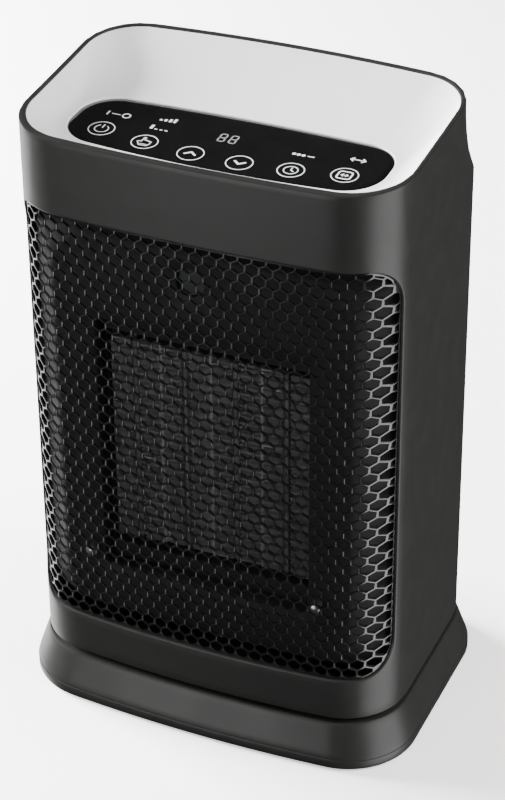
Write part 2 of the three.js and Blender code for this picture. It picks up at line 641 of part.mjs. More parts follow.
// ---------------------------------------------------------------- air duct and fan
// Ring in an upright plane: an ellipse that squares off as the power rises.
function squareRing(halfWide, halfTall, power, y, steps = 32) {
  return Array.from({ length: steps }, (_, i) => {
    const a = 2 * Math.PI * i / steps
    const across = Math.abs(Math.cos(a) / halfWide) ** power
    const upwards = Math.abs(Math.sin(a) / halfTall) ** power
    const reach = (across + upwards) ** (-1 / power)
    return [reach * Math.cos(a), y, HEAT_Z + reach * Math.sin(a)]
  })
}
const SHROUD_IN = FAN_RADIUS + 3
const SHROUD_OUT = SHROUD_IN + 3
const DUCT_FRONT = FRAME_BACK + GAP
const SHROUD_FRONT = FAN_Y - 9
const ductHalf = FRAME.half - 0.5
const ductTall = FRAME.tall / 2 - 0.5
const ductSkin = (d, over) => loft([
  squareRing(ductHalf - d, ductTall - d, 10, DUCT_FRONT - over),
  squareRing(ductHalf - d, ductTall - d, 6, DUCT_FRONT + 8),
  squareRing(SHROUD_OUT - d, SHROUD_OUT - d, 2, SHROUD_FRONT - GAP + over)
])
add('air_duct', cut(ductSkin(0, 0), ductSkin(1.8, 1)), BLACK)

const MOTOR_FRONT = FAN_Y + 13
const ARM_THICK = 2.5
function shroud() {
  const wall = toBack(tube(SHROUD_IN, SHROUD_OUT, SHROUD_FRONT, MOTOR_FRONT, 36))
  const plate = toBack(tube(4, 21, MOTOR_FRONT - ARM_THICK, MOTOR_FRONT, 32))
  const arm = box(SHROUD_IN - 18, ARM_THICK, 7, [(SHROUD_IN + 20) / 2, MOTOR_FRONT - ARM_THICK / 2, 0])
  const arms = [0, 1, 2].map(i => arm.clone().rotateY(Math.PI / 6 + i * 2 * Math.PI / 3))
  return join(wall, plate, ...arms).translate(0, 0, HEAT_Z)
}
add('fan_shroud', shroud(), BLACK)

add('fan_motor', toBack(turned([
  [3.4, MOTOR_FRONT + GAP], [18, MOTOR_FRONT + GAP], [20, MOTOR_FRONT + 2], [20, MOTOR_FRONT + 17],
  [18, MOTOR_FRONT + 19], [3.4, MOTOR_FRONT + 19], [3.4, MOTOR_FRONT + GAP]
], 24)).translate(0, 0, HEAT_Z), STEEL)

function impeller() {
  const hub = toBack(tube(2.4, 16, FAN_Y - 7, FAN_Y + 7, 32))
  const blade = loft([14, 24, 34, 44, FAN_RADIUS].map(radius => {
    const pitch = 0.95 - 0.011 * (radius - 14)
    const chord = 17 + (radius - 14) * 0.2
    const reach = chord / 2
    return [[-reach, -0.8], [reach, -0.8], [reach, 0.8], [-reach, 0.8]].map(([u, v]) => {
      const around = (u * Math.cos(pitch) - v * Math.sin(pitch)) / radius + 0.012 * (radius - 14)
      const axial = Math.max(-6.6, Math.min(6.6, (u * Math.sin(pitch) + v * Math.cos(pitch)) * 0.75))
      return [radius * Math.cos(around), FAN_Y + axial, radius * Math.sin(around)]
    })
  }))
  const blades = []
  for (let i = 0; i < FAN_BLADES; i++) blades.push(blade.clone().rotateY(2 * Math.PI * i / FAN_BLADES))
  return join(hub, ...blades).translate(0, 0, HEAT_Z)
}
add('fan_impeller', impeller(), DARK_PART)
add('fan_shaft', toBack(disc(2, FAN_Y - 9, MOTOR_FRONT + 22, 16)).translate(0, 0, HEAT_Z), STEEL)

// ---------------------------------------------------------------- swivel drive, tip-over switch
const DECK = BODY_BOTTOM + 2.4
const BRACKET_TOP = 41
const BRACKET_METAL = 1.6
const BRACKET_DEEP = 18
function motorBracket() {
  const foot = DECK + GAP
  const tall = BRACKET_TOP - foot
  const bridge = box(60, BRACKET_DEEP, BRACKET_METAL, [0, PINION_Y, BRACKET_TOP - BRACKET_METAL / 2])
  const legs = [-1, 1].map(side =>
    box(BRACKET_METAL, BRACKET_DEEP, tall, [side * 29.2, PINION_Y, foot + tall / 2]))
  const toes = [-1, 1].map(side =>
    box(8, BRACKET_DEEP, BRACKET_METAL, [side * 32.4, PINION_Y, foot + BRACKET_METAL / 2]))
  return cut(join(bridge, ...legs, ...toes), disc(4, 30, 60, 20).translate(0, PINION_Y, 0))
}
add('drive_bracket', motorBracket(), STEEL)
const driveMotor = turned([
  [3, BRACKET_TOP + GAP], [17, BRACKET_TOP + GAP], [18, BRACKET_TOP + 1.4], [18, BRACKET_TOP + 14],
  [17, BRACKET_TOP + 15], [0, BRACKET_TOP + 15], [0, BRACKET_TOP + 5],
  [3, BRACKET_TOP + 5], [3, BRACKET_TOP + GAP]
], 24)
add('drive_motor', driveMotor.translate(0, PINION_Y, 0), STEEL)
add('tip_over_switch', box(16, 20, 22, [-58, -18, DECK + GAP + 11]), DARK_PART)

// ---------------------------------------------------------------- power board
const POWER_Z = 224
add('power_board', box(120, 66, 1.6, [0, 14, POWER_Z - 0.8]), BOARD)
const onBoard = (wide, deep, tall, x, y) => box(wide, deep, tall, [x, y, POWER_Z + GAP + tall / 2])
add('relay_1', onBoard(19, 15.5, 15.5, -42, 30), DARK_PART)
add('relay_2', onBoard(19, 15.5, 15.5, -18, 30), DARK_PART)
add('transformer', onBoard(30, 24, 24, 34, 26), finish(0x6b5a35, 0.6))
add('smoothing_capacitor', disc(6.5, POWER_Z + GAP, POWER_Z + 24, 24).translate(8, 4, 0), DARK_PART)

export default heater
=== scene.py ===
"""A tabletop ceramic space heater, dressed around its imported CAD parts.

Shapes are worked out in millimetres in the CAD frame: +Z up, front towards -Y, origin on the floor.
"""

import json
import math

import bmesh
import bpy
from mathutils import Matrix, Vector
from mathutils.geometry import tessellate_polygon


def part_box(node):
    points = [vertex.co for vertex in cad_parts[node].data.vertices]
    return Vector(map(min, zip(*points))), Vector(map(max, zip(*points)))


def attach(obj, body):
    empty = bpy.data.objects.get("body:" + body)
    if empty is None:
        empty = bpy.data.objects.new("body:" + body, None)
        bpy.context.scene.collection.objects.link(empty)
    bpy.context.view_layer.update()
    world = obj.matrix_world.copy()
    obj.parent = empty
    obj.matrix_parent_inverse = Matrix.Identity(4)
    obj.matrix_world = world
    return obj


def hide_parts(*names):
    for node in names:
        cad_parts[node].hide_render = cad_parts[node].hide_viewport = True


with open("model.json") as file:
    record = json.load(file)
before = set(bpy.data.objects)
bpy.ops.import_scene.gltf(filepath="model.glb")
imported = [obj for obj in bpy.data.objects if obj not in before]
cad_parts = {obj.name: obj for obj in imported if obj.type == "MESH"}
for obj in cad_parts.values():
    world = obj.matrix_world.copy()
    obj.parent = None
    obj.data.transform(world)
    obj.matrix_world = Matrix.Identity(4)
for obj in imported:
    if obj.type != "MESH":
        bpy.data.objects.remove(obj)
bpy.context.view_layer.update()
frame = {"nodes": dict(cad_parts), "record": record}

MM = 0.001
HALF_TURN = math.pi
QUARTER = math.pi / 2
THIRTY = math.radians(30)

# ---- camera and lights
AIM = Vector((0.0074, -0.0146, 0.1555))
AZIMUTH = 24.0
ELEVATION = 32.44
ROLL = math.radians(-0.41)
DISTANCE = 1.061
LENS = 107.26
SENSOR = 36
LIGHTS_AIM = Vector((0, 0, 0.15))


def in_scene(name, data):
    thing = bpy.data.objects.new(name, data)
    bpy.context.scene.collection.objects.link(thing)
    return thing


def towards(azimuth, elevation):
    """The direction from the object at those angles in degrees, azimuth 0 in front and 90 to its right."""
    a, e = math.radians(azimuth), math.radians(elevation)
    return Vector((math.sin(a) * math.cos(e), -math.cos(a) * math.cos(e), math.sin(e)))


def make_camera():
    back = towards(AZIMUTH, ELEVATION)
    level = towards(AZIMUTH + 90, 0)
    right = level * math.cos(ROLL) + back.cross(level) * math.sin(ROLL)
    up = back.cross(right)
    data = bpy.data.cameras.new("camera")
    data.lens = LENS
    data.sensor_width = SENSOR
    camera = in_scene("camera", data)
    turn = Matrix((right, up, back)).transposed().to_4x4()
    camera.matrix_world = Matrix.Translation(AIM + back * DISTANCE) @ turn
    bpy.context.scene.camera = camera


def make_light(name, azimuth, elevation, distance, size, power, mirrored=True):
    """A soft rectangular light that faces the object, seen in glossy surfaces or not."""
    back = towards(azimuth, elevation)
    data = bpy.data.lights.new(name, "AREA")
    data.shape = "RECTANGLE"
    data.size, data.size_y = size
    data.energy = power
    light = in_scene(name, data)
    light.location = LIGHTS_AIM + back * distance
    light.visible_camera = False
    light.visible_glossy = mirrored
    light.rotation_mode = "QUATERNION"
    light.rotation_quaternion = back.to_track_quat("Z", "Y")


make_camera()
make_light("strip_left", -110, -24, 1.0, (0.6, 1.0), 7)
make_light("strip_right", 81, -12, 1.0, (0.86, 1.6), 14)
make_light("front_fill", -18, -3, 1.5, (0.5, 0.9), 6)
make_light("front_high", -4, 42, 1.5, (0.6, 0.5), 7, mirrored=False)
make_light("wing_left", -94, 14, 1.5, (0.9, 0.5), 340, mirrored=False)
make_light("wing_right", 92, 40, 1.5, (0.8, 0.6), 38, mirrored=False)
make_light("overhead", -80, 82, 1.6, (2.0, 2.0), 4)

world = bpy.data.worlds.new("studio")
world.use_nodes = True
background = world.node_tree.nodes["Background"].inputs
background["Color"].default_value = (1, 1, 1, 1)
background["Strength"].default_value = 0.06
bpy.context.scene.world = world


# ---- materials
def fill(tree, node, inputs):
    """Sets each input of a node to its number or colour, or links it to its output."""
    for name, value in inputs.items():
        socket = node.inputs[name.replace("_", " ")]
        if isinstance(value, bpy.types.NodeSocket):
            tree.links.new(value, socket)
        else:
            socket.default_value = value


def made(tree, kind, output, **inputs):
    """That output of a new shader node of that kind."""
    node = tree.nodes.new("ShaderNode" + kind)
    fill(tree, node, inputs)
    return node.outputs[output]


def noise(tree, size, detail, stretch=(1, 1, 1)):
    """The value of a noise with features of about that size in millimetres, fixed to the object."""
    place = made(tree, "TexCoord", "Object")
    scaled = made(tree, "Mapping", "Vector", Vector=place, Scale=stretch)
    return made(tree, "TexNoise", "Fac", Vector=scaled, Scale=1 / (size * MM), Detail=detail)


def spread(tree, value, low, high):
    """The value, spread from low to high."""
    return made(tree, "MapRange", "Result", Value=value, From_Min=0.3, From_Max=0.7, To_Min=low, To_Max=high)


def tint(tree, value, colour, share):
    """The colour, darker and lighter by that share as the value goes from low to high."""
    ramp = tree.nodes.new("ShaderNodeValToRGB")
    first, last = ramp.color_ramp.elements
    first.position, last.position = 0.3, 0.7
    first.color = (*[c * (1 - share) for c in colour], 1)
    last.color = (*[c * (1 + share) for c in colour], 1)
    fill(tree, ramp, {"Fac": value})
    return ramp.outputs["Color"]


def started(name, colour, roughness, **settings):
    """A new material with a plain Principled shader, and its node tree."""
    material = bpy.data.materials.new(name)
    material.use_nodes = True
    tree = material.node_tree
    plain = {"Base Color": (*colour, 1), "Roughness": roughness}
    fill(tree, tree.nodes["Principled BSDF"], {**plain, **settings})
    return material, tree


def detailed(tree, height, strength, depth, gloss, colour):
    """Gives the shader a relief of that depth in millimetres, and a roughness and colour that vary."""
    relief = made(tree, "Bump", "Normal", Strength=strength, Distance=depth * MM, Height=height)
    fill(tree, tree.nodes["Principled BSDF"], {"Normal": relief, "Roughness": gloss, "Base Color": colour})


def moulded(name, colour, roughness, grain=0.35, depth=0.012, varies=0.06, share=0.1, **settings):
    """Moulded plastic: a fine grain, with slow changes of gloss and colour over the surface."""
    material, tree = started(name, colour, roughness, **settings)
    gloss = spread(tree, noise(tree, 22, 4), roughness - varies, roughness + varies)
    patchy = tint(tree, noise(tree, 9, 5), colour, share)
    detailed(tree, noise(tree, grain, 3), 0.6, depth, gloss, patchy)
    return material


def metal(name, colour, roughness, stretch, scratch=0.6, depth=0.01, share=0.12):
    """Metal with fine lines along the directions that stretch leaves short."""
    material, tree = started(name, colour, roughness, Metallic=1.0)
    lines = noise(tree, scratch, 4, stretch)
    gloss = spread(tree, lines, roughness - 0.08, roughness + 0.1)
    detailed(tree, lines, 0.5, depth, gloss, tint(tree, noise(tree, 6, 3), colour, share))
    return material


GRAPHITE = moulded("graphite", (0.0150, 0.0156, 0.0144), 0.40, 0.4, 0.01, 0.03)
MESH_BLACK = moulded("grille_black", (0.006, 0.0062, 0.006), 0.17, 0.5, 0.006, 0.03, IOR=1.82)
BLACK = moulded("black_plastic", (0.014, 0.014, 0.0145), 0.48, 0.3, 0.03)
HOT_BLACK = moulded("heat_resistant", (0.014, 0.014, 0.0138), 0.55, 0.6, 0.05, Specular_IOR_Level=0.25)
WHITE = moulded("white_plastic", (0.73, 0.73, 0.745), 0.34, 0.5, 0.006, 0.03, 0.012)
PANEL = moulded("panel_gloss", (0.0035, 0.0035, 0.0036), 0.09, 1.5, 0.0015, 0.03, 0.15)
RUBBER = moulded("rubber", (0.012, 0.012, 0.012), 0.8, 0.5, 0.06)
NYLON = moulded("nylon", (0.62, 0.60, 0.52), 0.5, 0.8, 0.03, 0.06, 0.05)
STEEL = metal("steel", (0.52, 0.53, 0.54), 0.34, (1, 1, 8))
FIN = metal("aluminium_fin", (0.50, 0.505, 0.52), 0.5, (1, 6, 1), 0.8, 0.03)
CASING = metal("heater_casing", (0.13, 0.132, 0.135), 0.5, (1, 1, 8), 0.8, 0.02)
BOARD = moulded("circuit_board", (0.016, 0.075, 0.028), 0.42, 1.2, 0.03, 0.08, 0.3)
COMPONENT = moulded("component_black", (0.02, 0.022, 0.026), 0.45, 0.5, 0.03)
TAPE = moulded("transformer_tape", (0.42, 0.26, 0.03), 0.45, 0.7, 0.02, 0.08, 0.2)
PRINT = moulded("panel_print", (0.62, 0.63, 0.64), 0.5, 0.3, 0.002, 0.05, 0.05)
DIGIT = moulded("display_digit", (0.20, 0.20, 0.21), 0.35, 0.3, 0.002, 0.05, 0.1)
FLOOR = moulded("floor", (0.94, 0.94, 0.94), 0.8, 3, 0.02, 0.04, 0.004, Emission_Color=(1, 1, 1, 1),
                Emission_Strength=0.75)

# ---- plan outlines
WALL = 2.0
GAP = 0.3
FOOT_HEIGHT = 1.2
BASE_OUTLINE = {"w": 95.8, "front": -68, "back": 68, "bowF": 6.2, "bowB": 2.1, "rF": 34, "rB": 31}
BODY_LOW = {"w": 90, "front": -62.6, "back": 62, "bowF": 6.4, "bowB": 4.9, "rF": 30.6, "rB": 25}
BODY_HIGH = {"w": 88.2, "front": -62.8, "back": 62, "bowF": 3.8, "bowB": 4.9, "rF": 28.6, "rB": 25}
PANEL_OUTLINE = {"w": 71.3, "front": -44, "back": 0.2, "bowF": 4.6, "bowB": 2.6, "rF": 18, "rB": 16}
BASE_BAND = 4.9
BASE_TOP = 23
BASE_INSET = 5.3
BODY_BOTTOM = 25.6
BODY_MID_TOP = 292
COVE_Z = 258.9
COVE_DEPTH = 14.6
RIM_EXTRA = 1.7  # how much wider the rim is in front
RIM_Z = 295.6
WINDOW = {"half": 95.4, "low": 47.4, "high": 256.2, "corner": 19}
REAR = {"half": 64, "low": 36, "high": 244, "corner": 12}


def mix(a, b, t):
    """The outline that share of the way from one to another."""
    return {key: a[key] + (b[key] - a[key]) * t for key in a}


def inset(o, d):
    """An outline moved in by that depth."""
    return {**o, "w": o["w"] - d, "front": o["front"] + d, "back": o["back"] - d,
            "rF": o["rF"] - d, "rB": o["rB"] - d}


FLOOR_EDGE = inset(PANEL_OUTLINE, -1.3)


def rim_z(y):
    """The height of the rim, which rises to the back."""
    return RIM_Z + 0.0912 * y + 2.6e-4 * y * y


def panel_z(y):
    return 284.9 + 0.054 * y


def body_outline(z):
    return mix(BODY_LOW, BODY_HIGH, (z - BODY_BOTTOM) / (BODY_MID_TOP - BODY_BOTTOM))


def cove_outline(t):
    """The body between the cove's lower edge, t = 0, and the rim, t = 1."""
    o = body_outline(COVE_Z + (RIM_Z - COVE_Z) * t)
    return {**o, "back": o["back"] - COVE_DEPTH * (1 - (1 - t) ** 2)}


def rim_inside(depth):
    """The inner edge of the rim, which is wider in front, moved in by that depth."""
    o = inset(cove_outline(1), WALL + depth)
    return {**o, "front": o["front"] + RIM_EXTRA}


def bowed(o, side):
    """The arc and corner of an outline's front, side -1, or back, side 1."""
    w = o["w"]
    edge, bow, r = (o["front"], o["bowF"], o["rF"]) if side < 0 else (-o["back"], o["bowB"], o["rB"])
    big = (w * w + bow * bow) / (2 * bow)
    arc_y = edge + big
    corner_x = w - r
    corner_y = arc_y - math.sqrt((big - r) ** 2 - corner_x ** 2)
    meet = math.atan2(corner_x, arc_y - corner_y)
    return big, arc_y, corner_x, corner_y, meet, r


def half_length(o, side):
    """From the middle of an outline's front or back to the end of its corner."""
    big, _, _, _, meet, r = bowed(o, side)
    return big * meet + r * (QUARTER - meet)


def full_length(o):
    """Along one side of an outline, from the middle of the front to the middle of the back."""
    straight = -bowed(o, 1)[3] - bowed(o, -1)[3]
    return half_length(o, -1) + straight + half_length(o, 1)


def along(o, s, out=0.0):
    """The point s along the outline from the middle of its front, `out` from the line. s may be negative."""
    sign, far = (-1, -s) if s < 0 else (1, s)
    front, total = half_length(o, -1), full_length(o)
    back = half_length(o, 1)
    if front <= far <= total - back:
        return sign * (o["w"] + out), bowed(o, -1)[3] + far - front
    side = -1 if far < front else 1
    if side > 0:
        far = total - far
    big, arc_y, corner_x, corner_y, meet, r = bowed(o, side)
    if far < big * meet:
        turn = far / big
        x, y = (big + out) * math.sin(turn), arc_y - (big + out) * math.cos(turn)
    else:
        turn = meet + (far - big * meet) / r
        x, y = corner_x + (r + out) * math.sin(turn), corner_y - (r + out) * math.cos(turn)
    return sign * x, -side * y


def loop(o, count):
    """About that many points of an outline, closest on its corners, matching from one outline to the next."""
    half = []
    front, total, back = half_length(o, -1), full_length(o), half_length(o, 1)
    bends = [bowed(o, -1), bowed(o, 1)]
    marks = [0, bends[0][0] * bends[0][4], front, total - back, total - bends[1][0] * bends[1][4], total]
    shares = [0.16, 0.27, 0.14, 0.27, 0.16]
    for start, stop, share in zip(marks, marks[1:], shares):
        steps = max(2, round(count * share / 2))
        half += [start + (stop - start) * i / steps for i in range(steps)]
    spots = half + [total] + [-s for s in reversed(half[1:])]
    return [along(o, s) for s in spots]


def arc(radius, start, stop, x=0.0, y=0.0, count=40):
    """Points of an arc between two angles in degrees."""
    angles = [math.radians(start + (stop - start) * i / count) for i in range(count + 1)]
    return [(x + radius * math.cos(a), y + radius * math.sin(a)) for a in angles]


def rounded(half_x, half_y, corner, count):
    """The points of a rounded rectangle's corners, anticlockwise about the origin."""
    spots = []
    for x, y, start in ((1, -1, -90), (1, 1, 0), (-1, 1, 90), (-1, -1, 180)):
        spots += arc(corner, start, start + 90, x * (half_x - corner), y * (half_y - corner), count)
    return spots


def corner_points(o, count):
    """The corner points of an upright rounded rectangle, as (x, z)."""
    middle, tall = (o["low"] + o["high"]) / 2, (o["high"] - o["low"]) / 2
    return [(x, middle + z) for x, z in rounded(o["half"], tall, o["corner"], count)]


def grown(o, d):
    """An upright rounded rectangle, larger by that much on each side."""
    return {"half": o["half"] + d, "low": o["low"] - d, "high": o["high"] + d,
            "corner": max(o["corner"] + d, 0.4)}


# ---- meshes
SQUARE = [(-1, -1), (1, -1), (1, 1), (-1, 1)]


def smooth(mesh, degrees):
    """Smooth shading, broken at edges sharper than that angle."""
    mesh.shade_smooth()
    mesh.set_sharp_from_angle(angle=math.radians(degrees))


def mesh_object(name, points, faces, material, degrees=35.0):
    """A closed mesh from points in millimetres, its faces turned outwards and smooth below that angle."""
    bm = bmesh.new()
    verts = [bm.verts.new(Vector(p) * MM) for p in points]
    for face in faces:
        corners = dict.fromkeys(face)
        if len(corners) > 2:
            bm.faces.new([verts[i] for i in corners])
    bmesh.ops.recalc_face_normals(bm, faces=bm.faces)
    mesh = bpy.data.meshes.new(name)
    bm.to_mesh(mesh)
    bm.free()
    smooth(mesh, degrees)
    mesh.materials.append(material)
    return in_scene(name, mesh)


def dress(piece, body, slot, *nodes):
    """Puts a piece on its body, in place of the CAD nodes named."""
    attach(piece, body)
    if nodes:
        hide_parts(*nodes)


def box_mm(node):
    """(lowest, highest) corner of a CAD node in millimetres."""
    low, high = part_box(node)
    return low / MM, high / MM


def middle_mm(node):
    return [(a + b) / 2 for a, b in zip(*box_mm(node))]


def joined(*rings):
    """Quads between each closed ring of vertex numbers and the next."""
    faces = []
    for a, b in zip(rings, rings[1:]):
        for i in range(len(a)):
            j = (i + 1) % len(a)
            faces.append((a[i], a[j], b[j], b[i]))
    return faces


def rings_mesh(rings, closed=False):
    """Points and faces of a skin through rings of points, closed on itself or capped."""
    count = len(rings[0])
    rows = [range(k * count, (k + 1) * count) for k in range(len(rings))]
    faces = joined(*rows, rows[0]) if closed else joined(*rows) + [tuple(rows[0]), tuple(rows[-1])]
    return [p for ring in rings for p in ring], faces


def merged(*parts):
    """Several (points, faces) as one."""
    points, faces = [], []
    for more_points, more_faces in parts:
        faces += [tuple(len(points) + i for i in face) for face in more_faces]
        points += more_points
    return points, faces


def lifted(spots, height):
    """(x, y) points at a height, given as a number or a function of y."""
    return [(x, y, height(y) if callable(height) else height) for x, y in spots]


def ring(o, height):
    return lifted(loop(o, 240), height)


def through(outline, front, back):
    """A solid along Y between two depths, from an outline of (x, z) points."""
    return rings_mesh([[(x, y, z) for x, z in outline] for y in (front, back)])


def turned(profile, count=48):
    """Points and faces of a piece turned about +Z from (radius, height) points, ending on the axis or not."""
    points, rows = [], []
    for r, z in profile:
        if r == 0:
            rows.append([len(points)] * count)
            points.append((0, 0, z))
        else:
            rows.append(range(len(points), len(points) + count))
            turns = [2 * HALF_TURN * i / count for i in range(count)]
            points += [(r * math.cos(a), r * math.sin(a), z) for a in turns]
    if profile[0][0] > 0:
        rows.append(rows[0])
    return points, joined(*rows)


def facing_back(points, x, y, z):
    """Points made about +Z, turned so that their +Z looks to the back, and moved there."""
    return [(px + x, pz + y, z - py) for px, py, pz in points]


def eased(piece, width, degrees):
    """Bevels a piece's edges sharper than that angle, by that width in millimetres."""
    ease = piece.modifiers.new("ease", "BEVEL")
    ease.width = width * MM
    ease.segments = 2
    ease.limit_method = "ANGLE"
    ease.angle_limit = math.radians(degrees)
    return ease


def applied(piece):
    """Makes a piece's modifiers part of its mesh."""
    graph = bpy.context.evaluated_depsgraph_get()
    mesh = bpy.data.meshes.new_from_object(piece.evaluated_get(graph))
    piece.modifiers.clear()
    piece.data = mesh


def cut_out(piece, points, faces):
    """Takes a closed tool away from a piece."""
    tool = mesh_object("tool", points, faces, BLACK)
    cut = piece.modifiers.new("cut", "BOOLEAN")
    cut.operation = "DIFFERENCE"
    cut.solver = "EXACT"
    cut.object = tool
    applied(piece)
    bpy.data.objects.remove(tool)


class Skin:
    """A mesh in the making, whose vertices can be shared by name."""

    def __init__(self):
        self.points, self.faces, self.index = [], [], {}

    def add(self, points):
        """New vertices, as their numbers."""
        start = len(self.points)
        self.points += points
        return list(range(start, len(self.points)))

    def shared(self, name, point):
        """The vertex of that name, made at that point the first time."""
        if name not in self.index:
            self.index[name] = self.add([point])[0]
        return self.index[name]

    def join(self, *rings):
        self.faces += joined(*rings)


# ---- body shell
RIM_INSIDE = rim_inside(0)
PATCH = 100.0  # the window's patch reaches this far along the outline from the middle of the front
REAR_PATCH = 68.5
MIDDLES = 14  # columns of each side wall, between the two patches
COVE_STEPS = 14
ROUND = 0.7  # the radius of the shell's edges


def wall_point(s, z, depth, from_back=False):
    """The point of the body's wall at height z, s along it from the middle of its front or back."""
    o = body_outline(z)
    if not from_back:
        return (*along(o, s, -depth), z)
    x, y = along(o, full_length(o) - abs(s), -depth)
    return (x if s >= 0 else -x), y, z


def window_loop(hole, grow, outer):
    """The rounded hole's points, one for each point of the rectangle (half, low, high) of points round it."""
    half, low, high, corner = grown(hole, grow).values()
    flat, bottom, top = half - corner, low + corner, high - corner
    edge, below, above = outer["half"], outer["low"], outer["high"]
    spots, groups = [], {}
    for index, (s, z) in enumerate(outer["points"]):
        if abs(s) <= flat and z in (below, above):
            spots.append((s, low if z == below else high))
        elif bottom <= z <= top and abs(s) == edge:
            spots.append((math.copysign(half, s), z))
        else:
            groups.setdefault((s > 0, z > (low + high) / 2), []).append(index)
            spots.append(None)
    starts = {(True, False): -QUARTER, (True, True): 0, (False, True): QUARTER, (False, False): HALF_TURN}
    for (right, upper), members in groups.items():
        for place, index in enumerate(members):
            angle = starts[right, upper] + QUARTER * (place + 1) / (len(members) + 1)
            spots[index] = (
                (flat if right else -flat) + corner * math.cos(angle),
                (top if upper else bottom) + corner * math.sin(angle),
            )
    return spots


def rectangle(half, rows, columns):
    """Points anticlockwise round a rectangle from the middle of its bottom, at those heights and places."""
    low, high = rows[0], rows[-1]
    bottom = [(s, low) for s in columns]
    middle = len(columns) // 2
    points = bottom[middle:] + [(half, z) for z in rows[1:-1]]
    points += [(s, high) for s in reversed(columns)]
    points += [(-half, z) for z in reversed(rows[1:-1])] + bottom[:middle]
    return {"half": half, "low": low, "high": high, "points": points}


def steps(*stops):
    """Evenly spaced values between stops given as value, count, value, count, value."""
    values = [stops[0]]
    for count, stop in zip(stops[1::2], stops[2::2]):
        start = values[-1]
        values += [round(start + (stop - start) * (i + 1) / count, 4) for i in range(count)]
    return values


def side_spot(total, k):
    """How far along an outline of that length column k of the side wall lies."""
    return PATCH + (total - REAR_PATCH - PATCH) * k / MIDDLES


def make_housing():
    """The shell: a patch round each opening, side walls between them, a lower edge, the cove and the rim."""
    rows = steps(BODY_BOTTOM + ROUND, 2, 36, 4, 47, 10, 66, 34, 232, 4, 244, 6, COVE_Z)
    front_columns = steps(-PATCH, 10, -76, 36, 76, 10, PATCH)
    rear_columns = steps(-REAR_PATCH, 8, -52, 14, 52, 8, REAR_PATCH)
    front = rectangle(PATCH, rows, front_columns)
    rear = rectangle(REAR_PATCH, rows, rear_columns)
    shell = Skin()

    def patch(box, hole, from_back, layer):
        """The wall between a patch's edge and its hole, as the hole's ring of vertices."""
        name = "rear" if from_back else "front"
        inner = window_loop(hole, ROUND if layer == 0 else 0.0, box)
        spots = box["points"]
        rings = [[shell.shared((name, s, z, layer), wall_point(s, z, layer, from_back)) for s, z in spots]]
        for t in (0.2, 0.4, 0.6, 0.8, 1.0):
            rings.append(shell.add([
                wall_point(s0 + (s1 - s0) * t, z0 + (z1 - z0) * t, layer, from_back)
                for (s0, z0), (s1, z1) in zip(spots, inner)
            ]))
        shell.join(*rings)
        return rings[-1]

    for box, hole, from_back in ((front, WINDOW, False), (rear, REAR, True)):
        outer = patch(box, hole, from_back, 0)
        inner = patch(box, hole, from_back, WALL)
        lip = [outer]
        for degrees in (22.5, 45, 67.5, 90):
            a = math.radians(degrees)
            grow, depth = ROUND - ROUND * math.sin(a), ROUND - ROUND * math.cos(a)
            spots = window_loop(hole, grow, box)
            lip.append(shell.add([wall_point(s, z, depth, from_back) for s, z in spots]))
        shell.join(*lip, inner)

    def column(side, k, z, layer):
        """A vertex of the side wall, k from 0, the window's patch, to MIDDLES, the rear one."""
        if k == 0:
            return shell.index["front", side * PATCH, z, layer]
        if k == MIDDLES:
            return shell.index["rear", side * REAR_PATCH, z, layer]
        s = side_spot(full_length(body_outline(z)), k)
        return shell.shared(("side", side, k, z, layer), wall_point(side * s, z, layer))

    for layer in (0, WALL):
        for side in (-1, 1):
            for low, high in zip(rows, rows[1:]):
                for k in range(MIDDLES):
                    corners = ((k, low), (k + 1, low), (k + 1, high), (k, high))
                    shell.faces.append(tuple(column(side, place, z, layer) for place, z in corners))

    def level(z):
        """Every column at that height, right side then left, as (names, shares of the outline's length)."""
        total = full_length(body_outline(z))
        fronts = [s for s in front_columns if s >= 0]
        rears = [s for s in reversed(rear_columns) if s >= 0]
        between = range(1, MIDDLES)
        names = [("front", s, z) for s in fronts]
        names += [("side", 1, k, z) for k in between]
        names += [("rear", s, z) for s in rears]
        names += [(part, -place, *rest) for part, place, *rest in names[-2:0:-1]]
        spots = fronts + [side_spot(total, k) for k in between] + [total - s for s in rears]
        shares = [s / total for s in spots]
        return names, shares + [-share for share in shares[-2:0:-1]]

    def wall_ring(names, layer):
        return [shell.index[(*name, layer)] for name in names]

    def free_ring(o, shares, height, depth):
        """New vertices on an outline, at those shares of its length."""
        total = full_length(o)
        return shell.add(lifted([along(o, share * total, -depth) for share in shares], height))

    # the bottom edge, rounded on the outside
    names, shares = level(rows[0])
    rings = [wall_ring(names, 0)]
    for degrees in (30, 60, 90):
        a = math.radians(degrees)
        rings.append(free_ring(body_outline(BODY_BOTTOM), shares, rows[0] - ROUND * math.sin(a),
                               ROUND - ROUND * math.cos(a)))
    shell.join(*rings, wall_ring(names, WALL))

    # the cove and the rim
    names, shares = level(rows[-1])

    def cove(layer, last):
        """The cove's rings in one layer, up to that step."""
        rings = [wall_ring(names, layer)]
        for k in range(1, last + 1):
            t = k / COVE_STEPS
            rings.append(free_ring(
                cove_outline(t), shares, lambda y: COVE_Z + (rim_z(y) - COVE_Z) * t - 0.5 * t, layer,
            ))
        return rings

    outside = cove_outline(1)
    profile = [(outside, d, drop) for d, drop in ((0.06, 0.26), (0.2, 0.1), (0.42, 0.02), (0.7, 0))]
    profile += [(RIM_INSIDE, -d, drop) for d, drop in ((0.4, 0), (0.2, 0.06), (0.06, 0.2), (0, 0.4), (0, 2))]
    rim = [free_ring(o, shares, lambda y: rim_z(y) - drop, depth) for o, depth, drop in profile]
    inner = cove(WALL, COVE_STEPS - 1)
    shell.join(*cove(0, COVE_STEPS), *rim, inner[-1])
    shell.join(*inner)
    return mesh_object("housing_shell", shell.points, shell.faces, GRAPHITE, 28)


dress(make_housing(), "body", "graphite_plastic", "housing")

